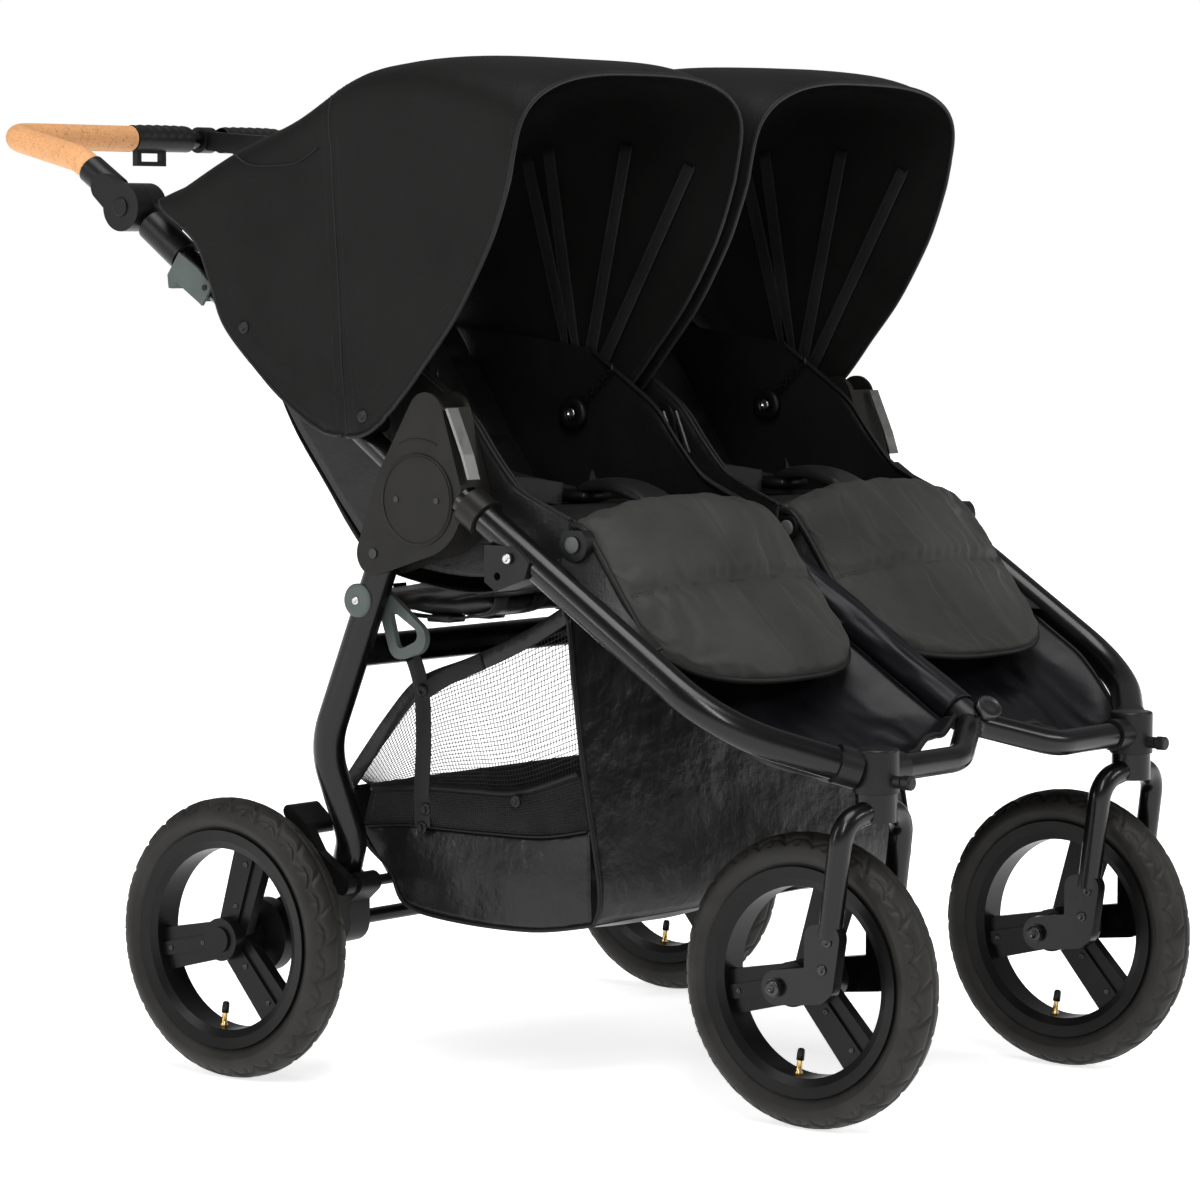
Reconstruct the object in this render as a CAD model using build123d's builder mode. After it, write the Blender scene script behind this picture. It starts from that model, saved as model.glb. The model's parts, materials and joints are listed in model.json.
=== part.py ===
"""Side-by-side double jogging stroller: an assembly of separate rigid and soft pieces.

Frame: +Z up, -Y is the direction of travel, X is across. The origin is on the floor, under the
middle of the object's box. Side profiles are drawn as (distance behind the rear axle, height).
"Right" is the pushing parent's and the children's right, which is -X.
"""
import os
from math import cos, hypot, radians, sin

from build123d import *

os.makedirs("parts", exist_ok=True)

# ---------------------------------------------------------------- driving dimensions (mm)
AXLE_Y = 187.25           # the rear axle stands this far behind the middle of the footprint
WHEEL_R = 144.0           # 12 inch wheels all round
TYRE_W = 48.0
BEAD_R = 108.0            # where the tyre sits on the rim
RIM_INNER_R = 93.0
REAR_X = 366.5            # rear wheel plane
FRONT_X = 226.0           # front wheel plane and caster axis
CASTER = (-702.0, 352.0)  # caster axis, and the height where the frame tubes meet it
FRONT_AXLE = (-626.0, WHEEL_R)
SPOKE_ANGLES = (72, 192, 312)
SPOKE_W = 38.0
AXLE_R = 6.0
BEARING_R = 14.0
RUN = 0.05                # running clearance between a shaft and its hole
HUB = (-248.0, 600.0)     # main fold axis
LEG_PIVOT = (-190.0, 545.0)
GRIP_JOINT = (154.0, 888.5)
CANOPY_HINGE = (-174.0, 674.0)
BACK_HINGE = (-152.0, 556.0)
BAR = (381.0, 966.0)      # handlebar across the back
TUBE_R = 16.0
TUBE_WALL = 2.0
ARM_R = 13.0
ARM_X = 345.0
RAIL_X = 354.0
BRAKE_ROD = (-119.0, 204.0)
SEAT_IN, SEAT_OUT = 20.0, 316.0
SIDES = {"right": -1, "left": 1}


# ---------------------------------------------------------------- helpers
def side(x):
    """Drawing plane across X: sketch x is the distance behind the rear axle, sketch y the height."""
    return Plane(origin=(x, AXLE_Y, 0), x_dir=(0, 1, 0), z_dir=(1, 0, 0))


def at(x, y, z):
    return Vector(x, AXLE_Y + y, z)


def along(start, end, distance, lift=0.0):
    """The profile point at a distance from start towards end, and lift to the upper side of it."""
    run = hypot(end[0] - start[0], end[1] - start[1])
    u = ((end[0] - start[0]) / run, (end[1] - start[1]) / run)
    return (start[0] + u[0] * distance - u[1] * lift, start[1] + u[1] * distance + u[0] * lift)


def rod(start, end, radius, mode=Mode.ADD):
    """A round bar, or a round hole, from one point to another."""
    with BuildSketch(Plane(origin=start, z_dir=end - start), mode=Mode.PRIVATE) as disc:
        Circle(radius)
    extrude(disc.sketch, amount=(end - start).length, mode=mode)


def cross_rod(lo, hi, point, radius, mode=Mode.ADD):
    """A round bar, or a round hole, along X through a profile point."""
    rod(at(lo, *point), at(hi, *point), radius, mode)


def plate(lo, hi, outline, mode=Mode.ADD):
    """A flat piece across X with a straight-sided outline."""
    with BuildSketch(side(lo), mode=Mode.PRIVATE) as shape:
        with BuildLine():
            Polyline(*outline, close=True)
        make_face()
    extrude(shape.sketch, amount=hi - lo, mode=mode)


def lobes(lo, hi, circles, mode=Mode.ADD):
    """A flat piece across X shaped like a belt round its circles, each (point, radius)."""
    with BuildSketch(side(lo), mode=Mode.PRIVATE) as shape:
        for point, radius in circles:
            with Locations(point):
                Circle(radius)
        make_hull()
    extrude(shape.sketch, amount=hi - lo, mode=mode)


def bent_tube(points, bends, radius, bore, mode=Mode.ADD):
    """A tube round a bent centre line; bore is the radius of the hole along it, or 0."""
    with BuildLine(mode=Mode.PRIVATE) as route:
        if bends:
            FilletPolyline(*points, radius=bends)
        else:
            Line(*points)
    start = Plane(origin=route.line @ 0, z_dir=route.line % 0)
    with BuildSketch(start, mode=Mode.PRIVATE) as section:
        Circle(radius)
        if bore:
            Circle(bore, mode=Mode.SUBTRACT)
    sweep(section.sketch, path=route.line, mode=mode)


def save(part, label):
    part.label = label
    export_step(part, f"parts/{label}.step")


# ---------------------------------------------------------------- wheels
def make_tyre(label, x, y):
    with BuildPart() as tyre:
        with BuildSketch(Plane(origin=at(x, y, WHEEL_R), x_dir=(1, 0, 0), z_dir=(0, -1, 0))):
            with BuildLine():
                Polyline((-15, BEAD_R), (15, BEAD_R), (19, 113))
                Spline((19, 113), (TYRE_W / 2, 125), (17, 138), (0, WHEEL_R), (-17, 138),
                       (-TYRE_W / 2, 125), (-19, 113))
                Line((-19, 113), (-15, BEAD_R))
            make_face()
        revolve(axis=Axis(at(x, y, WHEEL_R), (1, 0, 0)))
    save(tyre.part, label)


def make_rim(label, x, y, half_hub, cap_side):
    """Rim, three flat spokes with a raised rib, and the hub; cap_side is the closed end or 0."""
    centre = at(x, y, WHEEL_R)
    with BuildPart() as rim:
        with BuildSketch(Plane(origin=centre, x_dir=(1, 0, 0), z_dir=(0, -1, 0))):
            with BuildLine():
                Polyline((-19, 112.5), (-17, BEAD_R), (17, BEAD_R), (19, 112.5), (21, 112),
                         (19, 101), (15, RIM_INNER_R), (-15, RIM_INNER_R), (-19, 101),
                         (-21, 112), close=True)
            make_face()
            with BuildLine():
                Polyline((-15, BEAD_R), (15, BEAD_R), (19, 113), (19, 120), (-19, 120),
                         (-19, 113), close=True)
            make_face(mode=Mode.SUBTRACT)
        revolve(axis=Axis(centre, (1, 0, 0)))
        cross_rod(x - half_hub, x + half_hub, (y, WHEEL_R), 22)
        for angle in SPOKE_ANGLES:
            turned = Plane(origin=centre, x_dir=(0, -cos(radians(angle)), sin(radians(angle))),
                           z_dir=(1, 0, 0))
            with BuildSketch(turned.offset(-6), mode=Mode.PRIVATE) as blade:
                with BuildLine():
                    Polyline((10, -SPOKE_W / 2), (RIM_INNER_R + 3, -SPOKE_W / 2 - 3),
                             (RIM_INNER_R + 3, SPOKE_W / 2 + 3), (10, SPOKE_W / 2), close=True)
                make_face()
            extrude(blade.sketch, amount=12)
            with BuildSketch(turned.offset(-9), mode=Mode.PRIVATE) as rib:
                with Locations((55, 0)):
                    Rectangle(80, 14)
            extrude(rib.sketch, amount=18)
        bore = sorted((x - cap_side * (half_hub + 5), x + cap_side * (half_hub - 5)))
        if not cap_side:
            bore = (x - half_hub - 5, x + half_hub + 5)
        cross_rod(*bore, (y, WHEEL_R), BEARING_R + RUN, Mode.SUBTRACT)
        if cap_side:
            cross_rod(*sorted((x + cap_side * half_hub, x + cap_side * (half_hub + 3))),
                      (y, WHEEL_R), 13)
    save(rim.part, label)


def add_bearing(x_low, x_high, point):
    """One ball bearing as a ring round the axle."""
    with BuildSketch(side(x_low), mode=Mode.PRIVATE) as ring:
        with Locations(point):
            Circle(BEARING_R)
            Circle(AXLE_R, mode=Mode.SUBTRACT)
    extrude(ring.sketch, amount=x_high - x_low)


for name, s in SIDES.items():
    make_tyre(f"{name}_rear_tyre", s * REAR_X, 0)
    make_rim(f"{name}_rear_rim", s * REAR_X, 0, 21, s)
    make_tyre(f"{name}_front_tyre", s * FRONT_X, FRONT_AXLE[0])
    make_rim(f"{name}_front_rim", s * FRONT_X, FRONT_AXLE[0], 32, 0)

# ---------------------------------------------------------------- casters
LEG_OFFSET = 50.0         # fork leg to wheel plane
CROWN_Z = (304.0, 331.0)
SPINDLE_R = 8.0
SPINDLE_TOP = 364.0
DROPOUT = (44.0, 57.0)    # fork end plates, inner and outer face from the wheel plane


def make_fork(label, x):
    """Crown with its upright spindle, two bent legs and the end plates that hold the axle."""
    with BuildPart() as fork:
        rod(at(x, CASTER[0], CROWN_Z[0]), at(x, CASTER[0], CROWN_Z[1]), 20)
        rod(at(x, CASTER[0], CROWN_Z[1]), at(x, CASTER[0], SPINDLE_TOP), SPINDLE_R)
        for out in (-1, 1):
            bent_tube([at(x + 4 * out, CASTER[0], 316), at(x + LEG_OFFSET * out, -698, 306),
                       at(x + LEG_OFFSET * out, -684, 196)], 26, 11.5, 0)
            lo, hi = sorted((x + DROPOUT[0] * out, x + DROPOUT[1] * out))
            lobes(lo, hi, [((-685, 196), 15), ((-676, 152), 17), ((-671, 196), 12)])
            lobes(lo, hi, [((-672, 150), 18), (FRONT_AXLE, 17)])
        cross_rod(x - 70, x + 70, FRONT_AXLE, AXLE_R, Mode.SUBTRACT)
    save(fork.part, label)


def make_front_axle(label, x):
    """Through bolt with a head at each end, two spacers and the wheel's pair of bearings."""
    with BuildPart() as bolt:
        cross_rod(x - DROPOUT[1], x + DROPOUT[1], FRONT_AXLE, AXLE_R)
        for out in (-1, 1):
            lo, hi = sorted((x + DROPOUT[1] * out, x + 62 * out))
            cross_rod(lo, hi, FRONT_AXLE, 9)
            lo, hi = sorted((x + 32 * out, x + DROPOUT[0] * out))
            cross_rod(lo, hi, FRONT_AXLE, 9)
    with BuildPart() as bearings:
        for out in (-1, 1):
            lo, hi = sorted((x + 24 * out, x + 32 * out))
            add_bearing(lo, hi, FRONT_AXLE)
    save(Compound(children=[bolt.part] + bearings.part.solids()), label)


for name, s in SIDES.items():
    make_fork(f"{name}_fork", s * FRONT_X)
    make_front_axle(f"{name}_front_axle", s * FRONT_X)

# ---------------------------------------------------------------- caster heads and swivel locks
HEAD_Z = (331.5, 374.0)
RAIL_BEND = (RAIL_X, -612.0, 397.0)
RAIL_START = (RAIL_X, -300.0, 601.0)
RAIL_END = (FRONT_X + 17.0, -691.0, 354.0)
CROSSBAR_R = 13.0
LOCK_Z = 343.0


def make_caster_head(s):
    """Casting that the frame tubes plug into, bored for the caster's spindle."""
    rail_in = at(s * RAIL_END[0], *RAIL_END[1:])
    rail_out = at(s * RAIL_BEND[0], *RAIL_BEND[1:])
    toward = (rail_out - rail_in).normalized()
    with BuildPart() as head:
        rod(at(s * FRONT_X, CASTER[0], HEAD_Z[0]), at(s * FRONT_X, CASTER[0], HEAD_Z[1]), 22)
        fillet(head.edges().group_by(Axis.Z)[-1], 3)
        rod(rail_in, rail_in + toward * 22, TUBE_R + 3)
        rod(at(s * (FRONT_X - 12), *CASTER), at(s * (FRONT_X - 38), *CASTER), CROSSBAR_R + 3)
        rod(at(s * FRONT_X, CASTER[0] - 10, LOCK_Z), at(s * FRONT_X, CASTER[0] - 30, LOCK_Z), 6)
        rod(rail_in, rail_in + toward * 60, TUBE_R, Mode.SUBTRACT)
        rod(at(s * (FRONT_X - 24), *CASTER), at(s * (FRONT_X - 60), *CASTER), CROSSBAR_R,
            Mode.SUBTRACT)
        rod(at(s * FRONT_X, CASTER[0], HEAD_Z[0]), at(s * FRONT_X, CASTER[0], SPINDLE_TOP + 2),
            SPINDLE_R + RUN, Mode.SUBTRACT)
        rod(at(s * FRONT_X, CASTER[0] - 13, LOCK_Z), at(s * FRONT_X, CASTER[0] - 40, LOCK_Z), 3.05,
            Mode.SUBTRACT)
    return head.part


heads = [make_caster_head(s) for s in SIDES.values()]
save(Compound(children=heads), "caster_heads")

for name, s in SIDES.items():
    with BuildPart() as knob:
        rod(at(s * FRONT_X, CASTER[0] - 20, LOCK_Z), at(s * FRONT_X, CASTER[0] - 36, LOCK_Z), 3)
        rod(at(s * FRONT_X, CASTER[0] - 32, LOCK_Z), at(s * FRONT_X, CASTER[0] - 42, LOCK_Z), 7)
        fillet(knob.edges().group_by(Axis.Y)[0], 2)
    save(knob.part, f"{name}_swivel_lock")

# ---------------------------------------------------------------- main frame tubes
for name, s in SIDES.items():
    with BuildPart() as rail:
        bent_tube([at(s * RAIL_START[0], *RAIL_START[1:]), at(s * RAIL_BEND[0], *RAIL_BEND[1:]),
                   at(s * RAIL_END[0], *RAIL_END[1:])], 130, TUBE_R, TUBE_R - TUBE_WALL)
    save(rail.part, f"{name}_side_rail")

DIP_X = 85.0
NOSE = (-655.0, 378.0)    # the crossbar's raised middle
CROSSBAR_ROUTE = [at(-(FRONT_X - 24), *CASTER), at(-DIP_X, *CASTER), at(0, *NOSE),
                  at(DIP_X, *CASTER), at(FRONT_X - 24, *CASTER)]
CROSSBAR_BENDS = [60, 22, 60]
with BuildPart() as crossbar:
    bent_tube(CROSSBAR_ROUTE, CROSSBAR_BENDS, CROSSBAR_R, CROSSBAR_R - TUBE_WALL)
save(crossbar.part, "front_crossbar")

CENTRE_START = (-301.0, 607.0)
CENTRE_END = (-632.0, 393.0)
CENTRE_R = 14.0
with BuildPart() as centre_rail:
    bent_tube([at(0, *CENTRE_START), at(0, *CENTRE_END)], None, CENTRE_R, CENTRE_R - TUBE_WALL)
save(centre_rail.part, "centre_rail")

# ---------------------------------------------------------------- hubs on the fold axis
CHEEK = (321.0, 328.5, 361.5, 365.0)
HUB_R = 57.0
LOBE = ((-258.0, 684.0), 22.0)


def make_hub_housing(s):
    """Two cheeks and a front wall, open behind and above for the arm and below for the leg."""
    low, inner, outer, high = (s * v for v in CHEEK)
    rail_a, rail_b = at(s * RAIL_START[0], *RAIL_START[1:]), at(s * RAIL_BEND[0], *RAIL_BEND[1:])
    toward = (rail_b - rail_a).normalized()
    with BuildPart() as housing:
        lobes(low, high, [(HUB, HUB_R), LOBE, (LEG_PIVOT, 22)])
        rod(rail_a + toward * 8, rail_a + toward * 32, TUBE_R + 4)
        lobes(inner, outer, [(HUB, HUB_R - 5), ((-253, 690), 18), ((-253, 720), 18),
                             (LEG_PIVOT, 27), ((-150, 700), 20)], Mode.SUBTRACT)
        plate(inner, outer, [HUB, (-262, 500), (-150, 500), (-110, 640), (-150, 720),
                             (-246, 720)], Mode.SUBTRACT)
        rod(rail_a, rail_a + toward * 80, TUBE_R, Mode.SUBTRACT)
        cross_rod(s * 315, s * 370, HUB, 12, Mode.SUBTRACT)
        cross_rod(s * 315, s * 370, LEG_PIVOT, 5, Mode.SUBTRACT)
    return housing.part


for name, s in SIDES.items():
    save(make_hub_housing(s), f"{name}_hub_housing")

COVER_R = 46.0
COVER_X = (365.0, 367.0)
covers = []
for s in SIDES.values():
    with BuildPart() as cover:
        cross_rod(s * COVER_X[0], s * COVER_X[1], HUB, COVER_R)
        fillet(cover.edges().filter_by(GeomType.CIRCLE).sort_by(Axis.X)[0 if s < 0 else -1], 1)
    covers.append(cover.part)
save(Compound(children=covers), "hub_covers")

with BuildPart() as centre_hub:
    for s in SIDES.values():
        lobes(s * 8.5, s * 12, [(HUB, 45), ((-262, 674), 12)])
    rod(at(0, *along(CENTRE_START, CENTRE_END, -4)), at(0, *along(CENTRE_START, CENTRE_END, 40)),
        CENTRE_R + 3)
    cross_rod(-8.5, 8.5, HUB, 33, Mode.SUBTRACT)
    rod(at(0, *CENTRE_START), at(0, *along(CENTRE_START, CENTRE_END, 60)), CENTRE_R, Mode.SUBTRACT)
    cross_rod(-20, 20, HUB, 10, Mode.SUBTRACT)
save(centre_hub.part, "centre_hub")

# ---------------------------------------------------------------- brackets, trim, fasteners
BRACKET_BOLT = (-371.0, 548.0)
brackets = []
for s in SIDES.values():
    with BuildPart() as bracket:
        plate(s * 340, s * 373, [(-340, 560), (-340, 524), (-354, 515), (-390, 528), (-396, 545),
                                 (-378, 560)])
        rod(at(s * RAIL_START[0], *RAIL_START[1:]), at(s * RAIL_BEND[0], *RAIL_BEND[1:]), TUBE_R,
            Mode.SUBTRACT)
        cross_rod(s * 335, s * 375, (-356, 530), 4, Mode.SUBTRACT)
    brackets.append(bracket.part.solids().sort_by(SortBy.VOLUME)[-1])
with BuildPart() as nose_joint:
    rod(at(0, *along(CENTRE_END, CENTRE_START, 22)), at(0, *along(CENTRE_END, CENTRE_START, -34)),
        CENTRE_R + 3)
    bent_tube(CROSSBAR_ROUTE, CROSSBAR_BENDS, CROSSBAR_R, 0, Mode.SUBTRACT)
    rod(at(0, *CENTRE_END), at(0, *CENTRE_START), CENTRE_R, Mode.SUBTRACT)
brackets.append(nose_joint.part.solids().sort_by(Axis.Y)[-1])
save(Compound(children=brackets), "frame_brackets")

trims = []
for s in SIDES.values():
    with BuildPart() as strip:
        plate(s * 348, s * 364, [(-283, 690), (-303, 645), (-311, 622), (-314, 622), (-306, 646),
                                 (-286, 691)])
    trims.append(strip.part)
for s in SIDES.values():
    with BuildPart() as strip:
        plate(s * 9, s * 12, [(-276, 676), (-294, 634), (-297, 635), (-279, 678)])
    trims.append(strip.part)
with BuildPart() as badge:
    rod(at(0, -675, 392), at(0, -678, 394), 10)
trims.append(badge.part)
save(Compound(children=trims), "metal_trim")

fasteners = []
for s in SIDES.values():
    for point, radius, lo, hi in ((HUB, 12, CHEEK[0], CHEEK[3]), (LEG_PIVOT, 5, CHEEK[0], 366.5),
                                  (BRACKET_BOLT, 5.5, 373, 376), ((-274, 600), 3, 367, 368),
                                  ((-222, 600), 3, 367, 368)):
        with BuildPart() as fastener:
            cross_rod(s * lo, s * hi, point, radius)
        fasteners.append(fastener.part)
with BuildPart() as fastener:
    cross_rod(-12, 12, HUB, 10)
fasteners.append(fastener.part)
save(Compound(children=fasteners), "pivot_pins_and_screws")

# ---------------------------------------------------------------- rear legs and what joins them
LEG_BEND = (345.0, -106.0, 345.0)
LEG_KINK = (312.0, -114.0, 250.0)
LEG_END = (298.0, -90.0, 204.0)
LEG_TOP = 18.0            # the leg's tube runs this far past its pivot
CROSS_TUBE = (-149.0, 444.0)
AXLE_TUBE = (-92.0, 163.0)
CARRIER_X = (286.0, 316.0)

for name, s in SIDES.items():
    with BuildPart() as leg:
        bent_tube([at(s * ARM_X, *along(LEG_PIVOT, LEG_BEND[1:], -LEG_TOP)),
                   at(s * LEG_BEND[0], *LEG_BEND[1:]), at(s * LEG_KINK[0], *LEG_KINK[1:]),
                   at(s * LEG_END[0], *LEG_END[1:])], [100, 45], TUBE_R, TUBE_R - TUBE_WALL)
        cross_rod(s * 329.2, s * 360.8, LEG_PIVOT, 9)
        cross_rod(s * 320, s * 370, LEG_PIVOT, 5 + RUN, Mode.SUBTRACT)
    save(leg.part, f"{name}_rear_leg")

with BuildPart() as cross_tube:
    bent_tube([at(-ARM_X, *CROSS_TUBE), at(ARM_X, *CROSS_TUBE)], None, TUBE_R, TUBE_R - TUBE_WALL)
    for s in SIDES.values():
        rod(at(s * ARM_X, *LEG_PIVOT), at(s * LEG_BEND[0], *LEG_BEND[1:]), TUBE_R, Mode.SUBTRACT)
middle_tube = cross_tube.part.solids().sort_by(SortBy.VOLUME)[-1]
with BuildPart() as axle_tube:
    bent_tube([at(-CARRIER_X[0], *AXLE_TUBE), at(CARRIER_X[0], *AXLE_TUBE)], None, 7.5, 6)
save(Compound(children=[middle_tube, axle_tube.part]), "rear_crossbars")

carriers = []
for s in SIDES.values():
    with BuildPart() as carrier:
        lobes(s * CARRIER_X[0], s * CARRIER_X[1], [((-92, 196), 22), ((-92, 163), 22),
                                                   ((0, WHEEL_R), 26)])
        lobes(s * CARRIER_X[0], s * CARRIER_X[1], [((-92, 190), 18), (BRAKE_ROD, 11)])
        cross_rod(s * CARRIER_X[1], s * 339, (0, WHEEL_R), 24)
        cross_rod(s * 322, s * 339, (-8, WHEEL_R), 38)
        rod(at(s * LEG_KINK[0], *LEG_KINK[1:]), at(s * LEG_END[0], *LEG_END[1:]), TUBE_R,
            Mode.SUBTRACT)
        cross_rod(s * 280, s * 320, BRAKE_ROD, 5.5 + RUN, Mode.SUBTRACT)
        cross_rod(s * 300, s * 340, (0, WHEEL_R), AXLE_R, Mode.SUBTRACT)
    carriers.append(carrier.part.solids().sort_by(SortBy.VOLUME)[-1])
save(Compound(children=carriers), "wheel_carriers")

# ---------------------------------------------------------------- brake
PEDAL_X = (323.0, 335.0)
with BuildPart() as pedal:
    lobes(-PEDAL_X[1], -PEDAL_X[0], [(BRAKE_ROD, 10), ((-84, 232), 6)])
    lobes(-PEDAL_X[1], -PEDAL_X[0], [((-84, 232), 6), ((-66, 258), 7)])
    lobes(-PEDAL_X[1], -292, [((-66, 258), 7), ((-47, 274), 7)])
    cross_rod(-340, -310, BRAKE_ROD, 5.5, Mode.SUBTRACT)
with BuildPart() as brake_rod:
    cross_rod(-PEDAL_X[1], CARRIER_X[1], BRAKE_ROD, 5.5)
save(Compound(children=[pedal.part, brake_rod.part]), "brake_pedal")

# ---------------------------------------------------------------- fold latch on the right leg
LATCH_PIVOT = (-168.0, 498.0)
with BuildPart() as latch:
    lobes(-326, -319, [(LATCH_PIVOT, 9), ((-207, 459), 17), ((-190, 452), 15)])
    lobes(-330, -315, [((-182, 480), 4), ((-205, 462), 8), ((-192, 455), 7)], Mode.SUBTRACT)
    cross_rod(-330, -315, LATCH_PIVOT, 3 + RUN, Mode.SUBTRACT)
save(latch.part, "fold_latch")

pins = []
with BuildPart() as latch_pin:
    cross_rod(-332, -318, LATCH_PIVOT, 3)
    cross_rod(-318, -316.5, LATCH_PIVOT, 6)
    rod(at(-ARM_X, *LEG_PIVOT), at(-LEG_BEND[0], *LEG_BEND[1:]), TUBE_R, Mode.SUBTRACT)
pins.append(latch_pin.part)
for s in SIDES.values():
    with BuildPart() as stub:
        cross_rod(s * 300, s * 380, (0, WHEEL_R), AXLE_R)
    with BuildPart() as stub_bearings:
        add_bearing(*sorted((s * 346, s * 354)), (0, WHEEL_R))
        add_bearing(*sorted((s * 372, s * 380)), (0, WHEEL_R))
    pins += [stub.part] + stub_bearings.part.solids()
save(Compound(children=pins), "rear_axles_and_pin")

# ---------------------------------------------------------------- handle arms
LEVER_START, LEVER_END = 354.0, 404.0
SLEEVE_START = 407.0
ARM_LENGTH = hypot(GRIP_JOINT[0] - HUB[0], GRIP_JOINT[1] - HUB[1])


def on_arm(distance, lift=0.0):
    return along(HUB, GRIP_JOINT, distance, lift)


for name, s in SIDES.items():
    with BuildPart() as arm:
        rod(at(s * ARM_X, *on_arm(20)), at(s * ARM_X, *on_arm(ARM_LENGTH - 30)), ARM_R)
        cross_rod(s * 330, s * 360, HUB, 34)
        cross_rod(s * 320, s * 370, HUB, 12 + RUN, Mode.SUBTRACT)
        cross_rod(s * (ARM_X - 18), s * (ARM_X + 18), on_arm(LEVER_START), 3)
    save(arm.part, f"{name}_handle_arm")

CENTRE_ARM_END = ARM_LENGTH - 34
with BuildPart() as centre_arm:
    lobes(-8, 8, [(on_arm(0), 13), (on_arm(CENTRE_ARM_END - 13), 13)])
    cross_rod(-8, 8, HUB, 28)
    plate(-8, 8, [on_arm(CENTRE_ARM_END, -20), on_arm(CENTRE_ARM_END, 20),
                  on_arm(CENTRE_ARM_END + 30, 20), on_arm(CENTRE_ARM_END + 30, -20)],
          Mode.SUBTRACT)
    cross_rod(-9, 9, HUB, 10 + RUN, Mode.SUBTRACT)
save(centre_arm.part, "centre_handle_arm")

# ---------------------------------------------------------------- handle release levers
for name, s in SIDES.items():
    with BuildPart() as lever:
        for lo, hi in ((ARM_X - 17, ARM_X - 13.5), (ARM_X + 13.5, ARM_X + 17)):
            plate(s * lo, s * hi, [on_arm(LEVER_START - 7, -17.5), on_arm(LEVER_START - 7, 7),
                                   on_arm(LEVER_START + 20, 10), on_arm(LEVER_END, 8),
                                   on_arm(LEVER_END, -17.5)])
        plate(s * (ARM_X - 17), s * (ARM_X + 17),
              [on_arm(LEVER_START, -17.5), on_arm(LEVER_START, -13.5),
               on_arm(LEVER_END, -13.5), on_arm(LEVER_END, -20), on_arm(LEVER_END - 9, -30),
               on_arm(LEVER_END - 13, -28), on_arm(LEVER_END - 15, -19)])
        cross_rod(s * 325, s * 365, on_arm(LEVER_START), 3 + RUN, Mode.SUBTRACT)
    save(lever.part, f"{name}_release_lever")

# ---------------------------------------------------------------- joints between arms and bar
JOINT_R = 25.0
LAP = (323.0, 345.5, 346.0, 366.0)      # lower half, then upper half, across X
SLEEVE_R = 17.0
NECK = 31.0                              # the sleeves begin this far from the pivot
PIN_R = 7.0
BAR_KNEE = (232.0, 939.0)
lower, upper = [], []
for s in SIDES.values():
    with BuildPart() as half:
        cross_rod(s * LAP[0], s * LAP[1], GRIP_JOINT, JOINT_R)
        lobes(s * LAP[0], s * (LAP[1] - 2), [(GRIP_JOINT, 19), (on_arm(ARM_LENGTH - NECK - 8), 15)])
        rod(at(s * ARM_X, *on_arm(ARM_LENGTH - NECK)), at(s * ARM_X, *on_arm(SLEEVE_START)),
            SLEEVE_R)
        rod(at(s * ARM_X, *on_arm(ARM_LENGTH - 30)), at(s * ARM_X, *on_arm(SLEEVE_START - 5)),
            ARM_R, Mode.SUBTRACT)
        cross_rod(s * LAP[0], s * 352, GRIP_JOINT, PIN_R)
    lower.append(half.part)
    with BuildPart() as half:
        cross_rod(s * LAP[2], s * LAP[3], GRIP_JOINT, JOINT_R)
        lobes(s * (LAP[2] + 2), s * 362, [(GRIP_JOINT, 19), (along(GRIP_JOINT, BAR_KNEE, NECK + 8), 14)])
        rod(at(s * ARM_X, *along(GRIP_JOINT, BAR_KNEE, NECK)),
            at(s * ARM_X, *along(GRIP_JOINT, BAR_KNEE, 74)), 15.5)
        rod(at(s * ARM_X, *along(GRIP_JOINT, BAR_KNEE, 32)),
            at(s * ARM_X, *along(GRIP_JOINT, BAR_KNEE, 90)), 10, Mode.SUBTRACT)
        cross_rod(s * 340, s * 357.5, GRIP_JOINT, PIN_R + RUN, Mode.SUBTRACT)
        cross_rod(s * 357.5, s * 370, GRIP_JOINT, 10, Mode.SUBTRACT)
    upper.append(half.part)
with BuildPart() as half:
    cross_rod(-9, -0.3, GRIP_JOINT, 17)
    lobes(-9, -0.3, [(GRIP_JOINT, 12), (on_arm(ARM_LENGTH - 21), 12)])
    plate(-9, 9, [on_arm(CENTRE_ARM_END, -13), on_arm(CENTRE_ARM_END, 13),
                  on_arm(ARM_LENGTH - 20, 13), on_arm(ARM_LENGTH - 20, -13)])
    cross_rod(-9, 9, GRIP_JOINT, 5)
lower.append(half.part)
save(Compound(children=lower), "lower_handle_joints")

STEM_END = (281.0, 957.0)
with BuildPart() as half:
    cross_rod(0.3, 9, GRIP_JOINT, 17)
    lobes(0.3, 9, [(GRIP_JOINT, 12), (along(GRIP_JOINT, STEM_END, 30), 12)])
    lobes(-7, 7, [(along(GRIP_JOINT, STEM_END, 36), 12), (STEM_END, 12)])
    lobes(0.3, 7, [(along(GRIP_JOINT, STEM_END, 24), 12), (along(GRIP_JOINT, STEM_END, 38), 12)])
    lobes(-7, 7, [(STEM_END, 12), (BAR, 10)])
    cross_rod(-10, 10, BAR, 14.5)
    cross_rod(-12, 12, BAR, 10, Mode.SUBTRACT)
    cross_rod(0, 10, GRIP_JOINT, 5 + RUN, Mode.SUBTRACT)
upper.append(half.part)
save(Compound(children=upper), "upper_handle_joints")

for name, s in SIDES.items():
    with BuildPart() as button:
        cross_rod(s * 361.5, s * 368.5, GRIP_JOINT, 9.8)
        fillet(button.edges().filter_by(GeomType.CIRCLE).sort_by(Axis.X)[0 if s < 0 else -1], 1.5)
    save(button.part, f"{name}_handle_button")

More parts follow.
